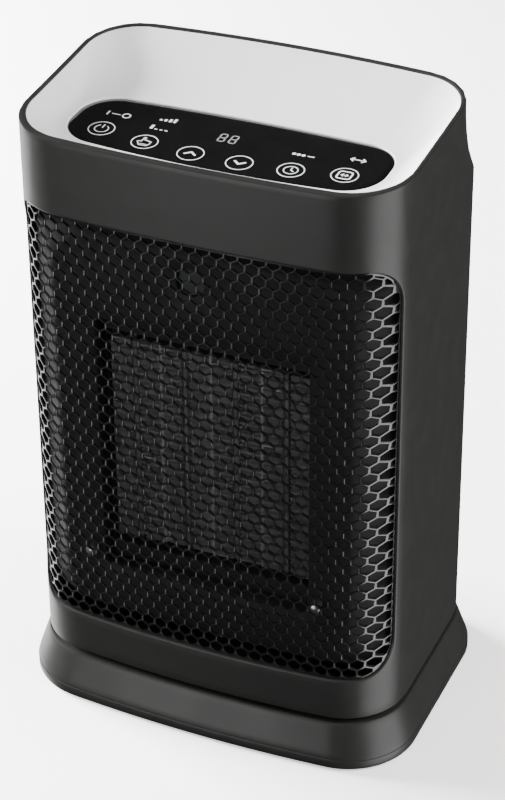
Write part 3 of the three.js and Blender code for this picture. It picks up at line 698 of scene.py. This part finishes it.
# ---- honeycomb
CELL_WIDE = 6.24
ROW_STEP = 4.747
ROW_FIRST = 250.2  # height of the top full row's middle
CELL_WALL = 0.72
SLANT = CELL_WIDE / math.sqrt(3) / 2  # height of a slanted wall
MESH_SINK = 1.1  # how far the grille lies under the body's surface
MESH_THICK = 1.1
BORDER = 0.7
EASE = 0.32  # the chamfer of each cell's left and lower left edges
EASE_BELOW = 0.75 * EASE
UNEASED = -0.03
EASE_DEEP = 0.5
SMALLEST = 1.2  # square millimetres of the smallest opening at the border
SEAM = 0.35  # between the grille and the window's edge
ROWS = range(-2, 44)  # enough to pass the window's edge, as are the columns
COLUMNS = range(-16, 17)
SAME_PLACE = 1e-3  # corners closer than this are one


def face_y(x, z):
    """How far forward the grille's front lies at x, and its slope there."""
    o = inset(body_outline(z), MESH_SINK)
    big, arc_y, corner_x, corner_y, meet, r = bowed(o, -1)
    far = abs(x)
    if far < big * math.sin(meet):
        return arc_y - math.sqrt(big * big - far * far), far / big
    reach = min((far - corner_x) / r, 0.97)
    return corner_y - r * math.sqrt(1 - reach * reach), reach


def clip(polygon, keep):
    """The part of a convex polygon inside a convex anticlockwise one."""
    for (ax, az), (bx, bz) in zip(keep, keep[1:] + keep[:1]):
        if not polygon:
            return []
        side = [(bx - ax) * (z - az) - (bz - az) * (x - ax) for x, z in polygon]
        result = []
        for i, (point, here) in enumerate(zip(polygon, side)):
            before, there = polygon[i - 1], side[i - 1]
            if (here >= 0) != (there >= 0):
                t = there / (there - here)
                result.append(tuple(b + (p - b) * t for p, b in zip(point, before)))
            if here >= 0:
                result.append(point)
        polygon = result
    corners = [p for i, p in enumerate(polygon) if math.dist(p, polygon[i - 1]) > SAME_PLACE]
    return corners if len(corners) > 2 else []


def area(polygon):
    return sum(a[0] * b[1] - b[0] * a[1] for a, b in zip(polygon, polygon[1:] + polygon[:1])) / 2


def window_outline(shrink):
    """The window's edge, moved in, as an anticlockwise polygon of (x, z)."""
    spots = corner_points(grown(WINDOW, -shrink), 10)
    return [(along(body_outline(z), s, -MESH_SINK)[0], z) for s, z in spots]


def hexagon(x, z, wall):
    """An upright cell about a middle, its edges half a wall in from its neighbours'."""
    half = (CELL_WIDE - wall) / 2
    peak = (ROW_STEP + SLANT) / 2 - wall / 2 / math.cos(THIRTY)
    shoulder = peak - half * math.tan(THIRTY)
    return [(x, z - peak), (x + half, z - shoulder), (x + half, z + shoulder),
            (x, z + peak), (x - half, z + shoulder), (x - half, z - shoulder)]


def front_point(x, z, deeper=0.0):
    return x, face_y(x, z)[0] + deeper, z


def back_point(x, z):
    y, slope = face_y(x, z)
    return x, y + min(MESH_THICK / math.sqrt(1 - slope * slope), 2 * MESH_THICK), z


def chamfered(hole):
    """A hole's mouth, wider than the hole on its left and its lower left."""
    cx, cz = (sum(p[k] for p in hole) / len(hole) for k in (0, 1))
    mouth = []
    for x, z in hole:
        reach = EASE if x < cx - 0.8 else EASE_BELOW if z < cz - 1.2 else UNEASED
        mouth.append((x - reach, z - reach * math.tan(THIRTY)))
    return mouth


def make_grille():
    """A sheet of cells on the body's front, cut off at the window's edge with a plain border."""
    outside = window_outline(SEAM)
    inside = window_outline(SEAM + BORDER)
    sheet, uses = Skin(), {}

    def shared(side, outline, place):
        return [sheet.shared((side, round(x, 3), round(z, 3)), place(x, z)) for x, z in outline]

    def make_cell(x, z):
        cell = clip(hexagon(x, z, 0), outside)
        if not cell:
            return
        front, back = shared("front", cell, front_point), shared("back", cell, back_point)
        for i in range(len(cell)):
            j = (i + 1) % len(cell)
            uses.setdefault((front[i], front[j]), (back[i], back[j]))
        hole = clip(hexagon(x, z, CELL_WALL), inside)
        if not hole or area(hole) < SMALLEST:
            sheet.faces += [tuple(front), tuple(reversed(back))]
            return
        mouth = chamfered(hole)
        mouth_ring = sheet.add([front_point(*p) for p in mouth])
        throat_ring = sheet.add([front_point(*p, EASE_DEEP) for p in hole])
        exit_ring = sheet.add([back_point(*p) for p in hole])
        sheet.join(mouth_ring, throat_ring, exit_ring)
        whole = len(cell) == 6 and len(hole) == 6 and abs(area(cell) - CELL_WIDE * ROW_STEP) < 0.01
        for outer, inner, outline in ((front, mouth_ring, mouth), (back, exit_ring, hole)):
            if whole:
                sheet.join(outer, inner)
            else:
                flat = [[Vector((*p, 0)) for p in polygon] for polygon in (cell, outline)]
                ids = outer + inner
                sheet.faces += [tuple(ids[i] for i in triangle) for triangle in tessellate_polygon(flat)]

    for row in ROWS:
        for column in COLUMNS:
            make_cell((column + (0 if row % 2 else 0.5)) * CELL_WIDE, ROW_FIRST - row * ROW_STEP)
    for (a, b), (c, d) in uses.items():
        if (b, a) not in uses:
            sheet.faces.append((a, b, d, c))
    return mesh_object("honeycomb_grille", sheet.points, sheet.faces, MESH_BLACK, 32)


dress(make_grille(), "body", "grille_plastic", "front_grille")

# ---- base cover
HUB_RADIUS = 24
SKIRT_TOP = inset(BASE_OUTLINE, BASE_INSET)
for corner in ("rF", "rB"):
    SKIRT_TOP[corner] = BASE_OUTLINE[corner] - BASE_INSET * 0.6
BASE_WALL = 2.5


def circle_like(last, radius, z):
    """A circle's points, each in the direction of the matching point of the last ring."""
    return [(radius * x / math.hypot(x, y), radius * y / math.hypot(x, y), z) for x, y, _ in last]


def make_base():
    """The flared skirt on its upright band, with a flat top round the hub, hollow underneath."""
    band_top = FOOT_HEIGHT + BASE_BAND
    under = BASE_TOP - BASE_WALL
    band = [(0.7, FOOT_HEIGHT), (0.2, FOOT_HEIGHT + 0.2), (0, FOOT_HEIGHT + 0.7), (0, band_top - 0.3),
            (0.08, band_top - 0.08), (0.3, band_top)]
    rings = [ring(inset(BASE_OUTLINE, d), z) for d, z in band]
    for t in (0.07, 0.2, 0.4, 0.6, 0.8, 0.955):
        rings.append(ring(mix(BASE_OUTLINE, SKIRT_TOP, t), band_top + (BASE_TOP - band_top) * t))
    for d, drop in ((0.12, 0.35), (0.4, 0.08), (0.9, 0), (12, 0)):
        rings.append(ring(inset(SKIRT_TOP, d), BASE_TOP - drop))
    for extra, z in ((10, BASE_TOP), (0.8, BASE_TOP), (GAP, BASE_TOP - 0.5), (GAP, under), (10, under)):
        rings.append(circle_like(rings[-1], HUB_RADIUS + extra, z))
    rings += [ring(inset(SKIRT_TOP, d), under) for d in (12, BASE_WALL)]
    rings += [ring(inset(BASE_OUTLINE, BASE_WALL), z) for z in (band_top, FOOT_HEIGHT)]
    return mesh_object("base_shell", *rings_mesh(rings, closed=True), GRAPHITE, 28)


dress(make_base(), "base", "graphite_plastic", "base_cover")

# ---- tray and panel
TRAY_EDGE = rim_inside(GAP)
LIP = 0.45  # the tray's edge stands this far over the panel
TRAY_DROP = 0.6
TRAY_THICK = 2.0
PANEL_THICK = 1.6


def make_tray():
    """The scooped tray, steep under the rim and flat at the panel's edge, with a seat for the panel."""

    def basin(s, down=0.0):
        """The ring that share of the way from the rim to the panel."""
        dip = 1 - (1 - s) ** 2

        def height(y):
            high = rim_z(y) - TRAY_DROP
            return high + (panel_z(y) + LIP - high) * dip - down
        return ring(mix(TRAY_EDGE, FLOOR_EDGE, s), height)

    def under_panel(o, d):
        return ring(o, lambda y: panel_z(y) - d)

    def under_rim(d, down):
        return ring(inset(TRAY_EDGE, d), lambda y: rim_z(y) - TRAY_DROP - down)

    seat = inset(PANEL_OUTLINE, -GAP)
    mouth = inset(PANEL_OUTLINE, 3)
    shares = [0.008, 0.03, 0.06, 0.1, 0.16, 0.22] + [0.3 + 0.08 * i for i in range(7)]
    shares += [0.85, 0.9, 0.95, 0.98, 0.995, 1.0]
    rings = [under_rim(0, 0.4), under_rim(0.1, 0.1)]
    rings += [basin(s) for s in shares]
    rings += [under_panel(inset(seat, -d), drop - LIP) for d, drop in ((0.5, 0), (0.22, 0.07), (0.05, 0.25))]
    rings += [under_panel(seat, 0.1), under_panel(seat, PANEL_THICK + GAP)]
    rings += [under_panel(mouth, PANEL_THICK + GAP), under_panel(mouth, PANEL_THICK + TRAY_THICK)]
    rings += [basin(s, PANEL_THICK * s + TRAY_THICK) for s in (1.0, 0.75, 0.5, 0.28, 0.12)]
    rings.append(under_rim(0, 5))
    return mesh_object("scooped_tray", *rings_mesh(rings, closed=True), WHITE, 40)


dress(make_tray(), "body", "white_plastic", "top_tray")


def make_panel():
    rings = []
    for d, drop in ((0, PANEL_THICK), (0, 0.3), (0.09, 0.09), (0.3, 0), (4, 0)):
        rings.append(ring(inset(PANEL_OUTLINE, d), lambda y: panel_z(y) - drop))
    return mesh_object("control_panel", *rings_mesh(rings), PANEL, 40)


dress(make_panel(), "body", "panel_gloss", "touch_panel")

# ---- marks printed on the panel
PRINT_THICK = 0.05
BUTTON_STEP = 22.05
RING_RADIUS = 5.85
STROKE = 0.45
MARK_FOOT = -1.6


def stroke(path, width=STROKE, closed=False):
    """The outline of a line of that width along a path, mitred, as one loop or, if closed, two."""
    left, right = [], []
    count = len(path)
    for i, (x, y) in enumerate(path):
        ways = []
        for j, k in ((i - 1, i), (i, i + 1)):
            if closed or (j >= 0 and k < count):
                (ax, ay), (bx, by) = path[j % count], path[k % count]
                length = math.dist((ax, ay), (bx, by))
                ways.append(((bx - ax) / length, (by - ay) / length))
        (ux, uy), (vx, vy) = ways[0], ways[-1]
        nx, ny = -(uy + vy), ux + vx
        size = math.hypot(nx, ny)
        nx, ny = nx / size, ny / size
        reach = width / 2 / max(-uy * nx + ux * ny, 0.35)
        left.append((x + nx * reach, y + ny * reach))
        right.append((x - nx * reach, y - ny * reach))
    return [left, right] if closed else [left + right[::-1]]


def circle(radius, width=STROKE, x=0.0, y=0.0, count=48):
    return stroke(arc(radius, 0, 360, x, y, count)[:-1], width, closed=True)


def bar(x, tall, width):
    """An upright bar standing on the foot line of the marks."""
    left, right, top = x - width / 2, x + width / 2, MARK_FOOT + tall
    return [[(left, MARK_FOOT), (right, MARK_FOOT), (right, top), (left, top)]]


def chevron(way):
    return stroke([(-2.6, -1.1 * way), (0, 1.1 * way), (2.6, -1.1 * way)], 0.95)


def arrows(half, tip_x, tip_y, shaft, width):
    """A line with a head at each end, pointing outwards."""
    left = [(-tip_x, tip_y), (-half, 0), (-tip_x, -tip_y)]
    right = [(-x, y) for x, y in left]
    return [stroke(left, width), stroke(right, width), stroke([(-shaft, 0), (shaft, 0)], width)]


POWER_SIGN = [stroke(arc(3.0, 120, 420)), stroke([(0, 0.6), (0, 3.7)])]
HAND = [
    stroke([(-1.5, 0.1), (-1.5, 3.4), (-0.6, 3.4), (-0.6, 1.4), (0.5, 1.5), (0.5, 1.1), (1.6, 1.2),
            (1.6, 0.8), (2.7, 0.8), (2.7, -1.3), (1.9, -2.9), (-1.5, -2.9), (-3.1, -0.4), (-2.6, 0.2)],
           closed=True),
    stroke([(-1.4, -1.9), (1.8, -1.9)], 0.4),
]
CLOCK = [circle(3.0), stroke([(0, 2.1), (0, 0), (1.5, -0.9)])]
SWING = [stroke(rounded(2.9, 2.9, 1.3, 6), 0.75, closed=True)] + arrows(1.5, 0.5, 1.0, 1.3, STROKE)
# plain marks in place of words
ON_OFF = [bar(-4.9, 3.2, 0.7), stroke([(-3.1, 0), (0.9, 0)], 0.55), circle(1.7, 0.6, 3.7)]
STRONG = [bar(x, tall, 1.2) for x, tall in ((-3.1, 1.1), (-1.05, 1.8), (1.05, 2.5), (3.1, 3.2))]
GENTLE = [bar(x, tall, 1.3) for x, tall in ((-3.5, 3.2), (-1.2, 0.6), (1.2, 0.6), (3.5, 0.6))]
COUNTDOWN = [circle(0.5, 0.75, x) for x in (-4.3, -2.2, -0.1)] + [stroke([(1.7, 0), (4.8, 0)], 0.65)]
TO_AND_FRO = arrows(3.2, 1.8, 1.5, 2.9, 0.6)


def raised(loops_at, thick=PRINT_THICK):
    """Points and faces of flat pieces on the panel, each from a loop, or a loop and its hole, at (x, y)."""
    parts = []
    for loops, (x, y) in loops_at:
        placed = [[(x + px, y + py) for px, py in one] for one in loops]
        flat = [p for one in placed for p in one]
        count = len(flat)
        sheet = tessellate_polygon([[Vector((*p, 0)) for p in one] for one in placed])
        faces = [tuple(triangle) for triangle in sheet]
        faces += [tuple(count + i for i in reversed(triangle)) for triangle in sheet]
        first = 0
        for one in placed:
            faces += joined(range(first, first + len(one)), range(first + count, first + count + len(one)))
            first += len(one)
        parts.append(([(px, py, panel_z(py) + lift) for lift in (thick, -thick) for px, py in flat], faces))
    return merged(*parts)


def button_place(i):
    """The middle of a button, on the shallow curve that follows the panel's front."""
    x = (i - 2.5) * BUTTON_STEP
    return x, -34.6 + 0.00204 * x * x


def make_print():
    """The six buttons' rings and signs, and the marks beside them."""
    signs = [POWER_SIGN, HAND, [chevron(1)], [chevron(-1)], CLOCK, SWING]
    labels = ((ON_OFF, -53.7, -14.9), (STRONG, -31.6, -11.7), (GENTLE, -32.2, -19.5),
              (COUNTDOWN, 33.4, -19.4), (TO_AND_FRO, 55.8, -15.0))
    pieces = []
    for i, sign in enumerate(signs):
        edge = circle(RING_RADIUS - STROKE / 2, count=72)
        pieces += [(loops, button_place(i)) for loops in [edge, *sign]]
    for label, x, y in labels:
        pieces += [(loops, (x, y)) for loops in label]
    return mesh_object("panel_marks", *raised(pieces), PRINT, 30)


def pointed_bar(half, x, y, upright):
    """A bar of the display with pointed ends, lying or upright, about (x, y)."""
    tip = 0.36
    flat = half - tip
    outline = [(-half, 0), (-flat, -tip), (flat, -tip), (half, 0), (flat, tip), (-flat, tip)]
    return [(x - v, y + u) if upright else (x + u, y + v) for u, v in outline]


def make_digits():
    """Two figures of seven bars, as the display shows with every bar lit."""
    tall, wide, slit = 3.1, 2.75, 0.12
    figure = [pointed_bar(wide / 2 - slit, 0, row * tall, False) for row in (-1, 0, 1)]
    figure += [pointed_bar(tall / 2 - slit, side * wide / 2, row * tall, True)
               for side in (-1, 1) for row in (-0.5, 0.5)]
    pieces = [([outline], (x, -17.6)) for x in (-4.0, 1.0) for outline in figure]
    return mesh_object("display_figures", *raised(pieces, 0.03), DIGIT, 30)


dress(make_print(), "body", "white_plastic")
dress(make_digits(), "body", "white_plastic")

# ---- heating block
FOLDS = 92
STRIP = 0.2
PLATE = 0.3  # the thin edge plate brazed to a stack's outer side
FIN_EASE = 0.15  # how far the folds stop short of the stack's front and back
FIN_END = 0.8  # bare height at each end of a strip


def make_fins(node):
    """A strip folded to and fro between two bars, each fold leaning a little, with a plate along its edge."""
    low, high = box_mm(node)
    number = int(node.split("_")[-1])
    plate_left = number % 2 == 1
    left, right = (low.x + PLATE, high.x) if plate_left else (low.x, high.x - PLATE)
    centre, half = (left + right) / 2, (right - left) / 2
    pitch = (high.z - low.z - STRIP - 2 * FIN_END) / FOLDS
    turn = pitch / 2
    path = []
    for fold in range(FOLDS + 1):
        side = 1 if fold % 2 else -1
        z = low.z + FIN_END + STRIP / 2 + fold * pitch
        lean = 0.12 * math.sin(z / 17 + number * 1.9) + 0.10 * math.sin(fold * 2.4 + number)
        for t in (-1, -0.5, 0, 0.5, 1):
            path.append((-side * t * (half - turn), z + 0.07 * math.sin(t * 2.6 + number), lean))
        if fold < FOLDS:
            path += [(-side * (half - turn + turn * math.sin(a)), z + turn - turn * math.cos(a), lean)
                     for a in (0.9, 2.25)]
    sections = []
    front, back = low.y + FIN_EASE, high.y - FIN_EASE
    for i, (x, z, lean) in enumerate(path):
        ax, az, _ = path[max(i - 1, 0)]
        bx, bz, _ = path[min(i + 1, len(path) - 1)]
        size = math.hypot(bx - ax, bz - az)
        nx, nz = -(bz - az) / size * STRIP / 2, (bx - ax) / size * STRIP / 2
        x += centre
        deep = 3 * lean
        sections.append([(x - nx, front, z - nz - deep), (x - nx, back, z - nz), (x + nx, back, z + nz),
                         (x + nx, front, z + nz - deep)])
    edge = low.x if plate_left else high.x - PLATE
    spots = [(edge, low.y + 0.8), (edge + PLATE, low.y + 0.8), (edge + PLATE, high.y), (edge, high.y)]
    plate = [lifted(spots, z) for z in (low.z, high.z)]
    points, faces = merged(rings_mesh(sections), rings_mesh(plate))
    return mesh_object(node.replace("pack", "stack"), points, faces, FIN, 50)


def make_bar(node):
    """A ceramic heater bar in its flat metal casing, crimped along its length and drawn in at its ends."""
    low, high = box_mm(node)
    centre, middle, _ = middle_mm(node)
    across, deep = (high.x - low.x) / 2, (high.y - low.y) / 2
    corner, crimps, bare = 0.7, 12, 4.4
    end = [(0, 0.9), (0.4, 0.7), (3.6, 0.7), (bare, 0.0)]  # (distance from the bar's end, how far drawn in)
    profile = [(low.z + z, d) for z, d in end]
    for i in range(crimps):
        z = low.z + bare + (high.z - low.z - 2 * bare) * (i + 0.5) / crimps
        profile += [(z - 0.7, 0.0), (z, 0.07), (z + 0.7, 0.0)]
    profile += [(high.z - z, d) for z, d in reversed(end)]
    rings = []
    for z, d in profile:
        rings.append([(centre + x, middle + y, z) for x, y in rounded(across - d, deep - d, corner, 3)])
    return mesh_object(node.replace("bar", "heater"), *rings_mesh(rings), CASING, 40)


for i in range(1, 9):
    dress(make_fins(f"fin_pack_{i}"), "body", "aluminium_fin", f"fin_pack_{i}")
for i in range(1, 5):
    dress(make_bar(f"ceramic_bar_{i}"), "body", "aluminium_fin", f"ceramic_bar_{i}")


# ---- feet and cord gland
def make_foot(node):
    """A round foot with rings moulded in its sole and a peg up into the base."""
    top = box_mm(node)[1].z
    x, y, _ = middle_mm(node)
    profile = [(0, 0.25), (2.2, 0.25), (2.6, 0), (4.6, 0), (5.0, 0.25), (5.6, 0.25), (6.0, 0), (8.3, 0),
               (8.8, 0.25), (9, 0.7), (9, FOOT_HEIGHT), (3, FOOT_HEIGHT), (3, top - 0.5), (2.5, top),
               (0, top)]
    points, faces = turned(profile)
    points = [(px + x, py + y, pz) for px, py, pz in points]
    return mesh_object(node.replace("rubber_", "ribbed_"), points, faces, RUBBER, 30)


for i in range(1, 5):
    dress(make_foot(f"rubber_foot_{i}"), "base", "rubber", f"rubber_foot_{i}")


def make_gland():
    """The soft sleeve for the cord, stepped down to its mouth."""
    x, _, z = middle_mm("cord_gland")
    profile = [(3.4, -9), (6.5, -9), (6.5, -0.2), (8.0, -0.05), (8.3, 0.3), (8.3, 0.9), (7.9, 1.3),
               (6.6, 1.6), (6.5, 2.1), (5.9, 2.3), (5.8, 2.8), (5.4, 3.0), (5.3, 3.6), (4.9, 3.8),
               (4.6, 4.3), (3.8, 4.4), (3.4, 4.1)]
    points, faces = turned(profile)
    return mesh_object("ribbed_gland", facing_back(points, x, BODY_LOW["back"], z), faces, RUBBER, 30)


dress(make_gland(), "body", "rubber", "cord_gland")

# ---- rear cover
SLOT_HEIGHTS = [88 + 15 * row for row in range(9)]
SLOT_X = 27
SLOT_HALF = 20
SLOT_RADIUS = 3
SOCKET_X = 34  # the switch's opening, and the cord's on the other side
SOCKET_Z = 58


def make_rear_cover():
    """The curved cover, with rows of air slots and openings for the switch, the cord and four screws."""
    half, low, high = REAR["half"] - GAP, REAR["low"] + GAP, REAR["high"] - GAP
    corner = REAR["corner"] - GAP
    flat = half - corner
    turns = [QUARTER * i / 8 for i in range(8, 0, -1)]
    stops = [(half - corner * (1 - math.sin(a)), corner * (1 - math.cos(a))) for a in turns]
    columns = [(-s, trim) for s, trim in stops]
    columns += [(-flat + 2 * flat * i / 24, 0) for i in range(25)]
    columns += stops[::-1]
    rings = []
    for s, trim in columns:
        rows = [low + trim + (high - low - 2 * trim) * i / 12 for i in range(13)]
        outer = [wall_point(s, z, 0.3, True) for z in rows]
        rings.append(outer + [wall_point(s, z, 1.7, True) for z in reversed(rows)])
    cover = mesh_object("rear_panel", *rings_mesh(rings), BLACK, 30)
    holes = []
    for z in SLOT_HEIGHTS:
        for x in (-SLOT_X, SLOT_X):
            right_end = arc(SLOT_RADIUS, -90, 90, x + SLOT_HALF, z, 10)
            holes.append(right_end + arc(SLOT_RADIUS, 90, 270, x - SLOT_HALF, z, 10))
    holes.append([(SOCKET_X + 9.5 * x, SOCKET_Z + 6.5 * z) for x, z in SQUARE])
    holes.append(arc(6.8, 0, 360, -SOCKET_X, SOCKET_Z, 40)[:-1])
    holes += [arc(1.9, 0, 360, x, z, 24)[:-1] for x in (-59.5, 59.5) for z in (44, 236)]
    cut_out(cover, *merged(*[through(hole, 50, 75) for hole in holes]))
    eased(cover, 0.45, 50)
    applied(cover)
    smooth(cover.data, 12)
    return cover


dress(make_rear_cover(), "body", "black_plastic", "rear_cover")


def make_screw(node):
    """A pan-head screw with a cross recess."""
    tip, top = (corner.y for corner in box_mm(node))
    x, _, z = middle_mm(node)
    head = [(0, 0), (1.4, 0.05), (2.3, 0.3), (2.8, 0.7), (3, 1.05), (3, 1.2), (1.5, 1.2)]
    profile = [(r, top - drop) for r, drop in head]
    points, faces = turned(profile + [(1.5, tip + 0.8), (0, tip)], 32)
    screw = mesh_object(node.replace("rear", "cover"), facing_back(points, x, 0, z), faces, STEEL, 35)
    for wide, tall in ((1.6, 0.35), (0.35, 1.6)):
        slot = [(x + sx * wide, z + sz * tall) for sx, sz in SQUARE]
        cut_out(screw, *through(slot, top - 0.75, top + 1))
    smooth(screw.data, 35)
    return screw


for i in range(1, 5):
    dress(make_screw(f"rear_screw_{i}"), "body", "steel", f"rear_screw_{i}")

# ---- pan round the heating block
PAN_FLAT = {"half": 70, "low": 50, "high": 245, "corner": 18}
MOUTH = {"half": 49.8, "low": 75.4, "high": 204.6, "corner": 1.5}
PAN_THICK = 1.8
PAN_DEPTH = 13.7
PAN_HOLE = (-4.3, 232)  # (x, z) of the round hole above the block
PAN_HOLE_RADIUS = 6.5
PAN_SCREW_X = 55
PAN_SCREW_Z = 83


def upright_ring(o, y, per_corner=8, per_side=6):
    """A rounded rectangle facing the front, as points at one depth, spaced along its sides too."""
    bends = corner_points(o, per_corner)
    spots = []
    for k in range(0, len(bends), per_corner + 1):
        end = k + per_corner + 1
        (ax, az), (bx, bz) = bends[end - 1], bends[end % len(bends)]
        spots += bends[k:end]
        spots += [(ax + (bx - ax) * i / per_side, az + (bz - az) * i / per_side) for i in range(1, per_side)]
    return [(x, y, z) for x, z in spots]


def make_pan():
    """The pressed pan round the heating block, its bends rounded, with a collar at its opening."""
    low, high = box_mm("air_baffle")
    front, collar = low.y, box_mm("heater_frame")[0].y - GAP
    rim = {"half": high.x, "low": low.z, "high": high.z, "corner": 14}
    rim_y = front + PAN_DEPTH
    out = [(mix(rim, PAN_FLAT, t), rim_y + (front - rim_y) * t) for t in (0, 0.03, 0.3, 0.6, 0.88)]
    out += [(grown(PAN_FLAT, d), front + y) for d, y in ((0.7, 0.85), (-0.4, 0.3), (-1.4, 0.08), (-2.6, 0))]
    out += [(grown(MOUTH, d), front + y) for d, y in ((9, 0), (1.5, 0), (0.75, 0.2), (0.2, 0.75), (0, 1.5))]
    out += [(MOUTH, collar), (grown(MOUTH, PAN_THICK), collar)]
    back = front + PAN_THICK
    out.append((grown(MOUTH, PAN_THICK), back + 0.2))
    out += [(grown(PAN_FLAT, -3), back), (grown(PAN_FLAT, -1), back + 0.3)]
    out += [(grown(mix(rim, PAN_FLAT, t), -1.2), rim_y + (front - rim_y) * t + 1.4) for t in (0.9, 0.5, 0.1)]
    rings = [upright_ring(o, y) for o, y in out]
    pan = mesh_object("air_funnel", *rings_mesh(rings, closed=True), HOT_BLACK, 30)
    points, faces = turned([(0, -4), (PAN_HOLE_RADIUS, -4), (PAN_HOLE_RADIUS, 4), (0, 4)])
    x, z = PAN_HOLE
    cut_out(pan, facing_back(points, x, front, z), faces)
    eased(pan, 0.4, 60)
    applied(pan)
    smooth(pan.data, 30)
    return pan


dress(make_pan(), "body", "heat_resistant_plastic", "air_baffle")


def make_pan_screws():
    """Two small dome-head screws on short sleeves, below the corners of the pan's opening."""
    front = box_mm("air_baffle")[0].y
    sleeve = 4.2
    dome = [(r, sleeve + h) for r, h in ((0, 1.5), (1.2, 1.4), (2.2, 1.0), (2.8, 0.4), (2.8, 0), (2.2, 0))]
    points, faces = turned(dome + [(2.2, 0.05), (1.5, 0.05), (1.5, -3), (0, -3)], 32)
    pair = []
    for x in (-PAN_SCREW_X, PAN_SCREW_X):
        pair.append(([(x + px, front - pz, PAN_SCREW_Z + py) for px, py, pz in points], faces))
    return mesh_object("pan_screws", *merged(*pair), STEEL, 35)


dress(make_pan_screws(), "body", "steel")

# ---- fan
BLADES = 7
HUB = 15  # the radius where the blades start
REACH = 53
SECTIONS = 12


def blade_section(k, blade):
    """The closed outline of a blade at one of its sections, cambered and twisted round the axis."""
    radius = HUB + (REACH - HUB) * k / SECTIONS
    pitch = 0.95 - 0.011 * (radius - HUB)
    chord = (17 + (radius - HUB) * 0.2) * (1 - 0.25 * (k / SECTIONS) ** 6)
    outline = []
    for face in (1, -1):
        for i in range(9):
            u = (-0.5 + i / 8) * face
            thick = 0.75 * math.sqrt(max(1 - (2 * u) ** 2, 0.04)) * face
            reach, off = u * chord, 1.6 * (1 - (2 * u) ** 2) + thick
            around = (reach * math.cos(pitch) - off * math.sin(pitch)) / radius
            around += 0.012 * (radius - HUB) + 2 * HALF_TURN * blade / BLADES
            axial = max(-6.6, min(6.6, (reach * math.sin(pitch) + off * math.cos(pitch)) * 0.72))
            outline.append((radius * math.cos(around), radius * math.sin(around), axial))
    return outline


def make_impeller():
    """Seven blades on a hub with a rounded nose."""
    _, y, z = middle_mm("fan_impeller")
    hub = turned([(2.4, -7), (14.5, -7), (16, -5.5), (16, 4), (15, 6), (12, 6.9), (2.4, 7)], 64)
    blades = [rings_mesh([blade_section(k, blade) for k in range(SECTIONS + 1)]) for blade in range(BLADES)]
    points, faces = merged(hub, *blades)
    return mesh_object("axial_fan", facing_back(points, 0, y, z), faces, COMPONENT, 35)


dress(make_impeller(), "fan", "component_black", "fan_impeller")

# ---- floor
FLOOR_HALF = 4000
floor = mesh_object("floor", [(x * FLOOR_HALF, y * FLOOR_HALF, 0) for x, y in SQUARE], [(0, 1, 2, 3)], FLOOR)
floor.visible_glossy = False
floor.visible_diffuse = False
floor.visible_shadow = False

# ---- finish of the CAD pieces that show
FINISHES = {
    "graphite_plastic": GRAPHITE, "black_plastic": BLACK, "grille_plastic": MESH_BLACK,
    "heat_resistant_plastic": HOT_BLACK, "white_plastic": WHITE, "panel_gloss": PANEL, "rubber": RUBBER,
    "nylon": NYLON, "steel": STEEL, "aluminium_fin": FIN, "circuit_board": BOARD,
    "component_black": COMPONENT, "transformer_tape": TAPE,
}
for subpart in frame["record"]["subparts"]:
    node = frame["nodes"][subpart["node"]]
    node.data.materials.clear()
    node.data.materials.append(FINISHES[subpart["material_slot"]])
    eased(node, 0.35, 40).harden_normals = True
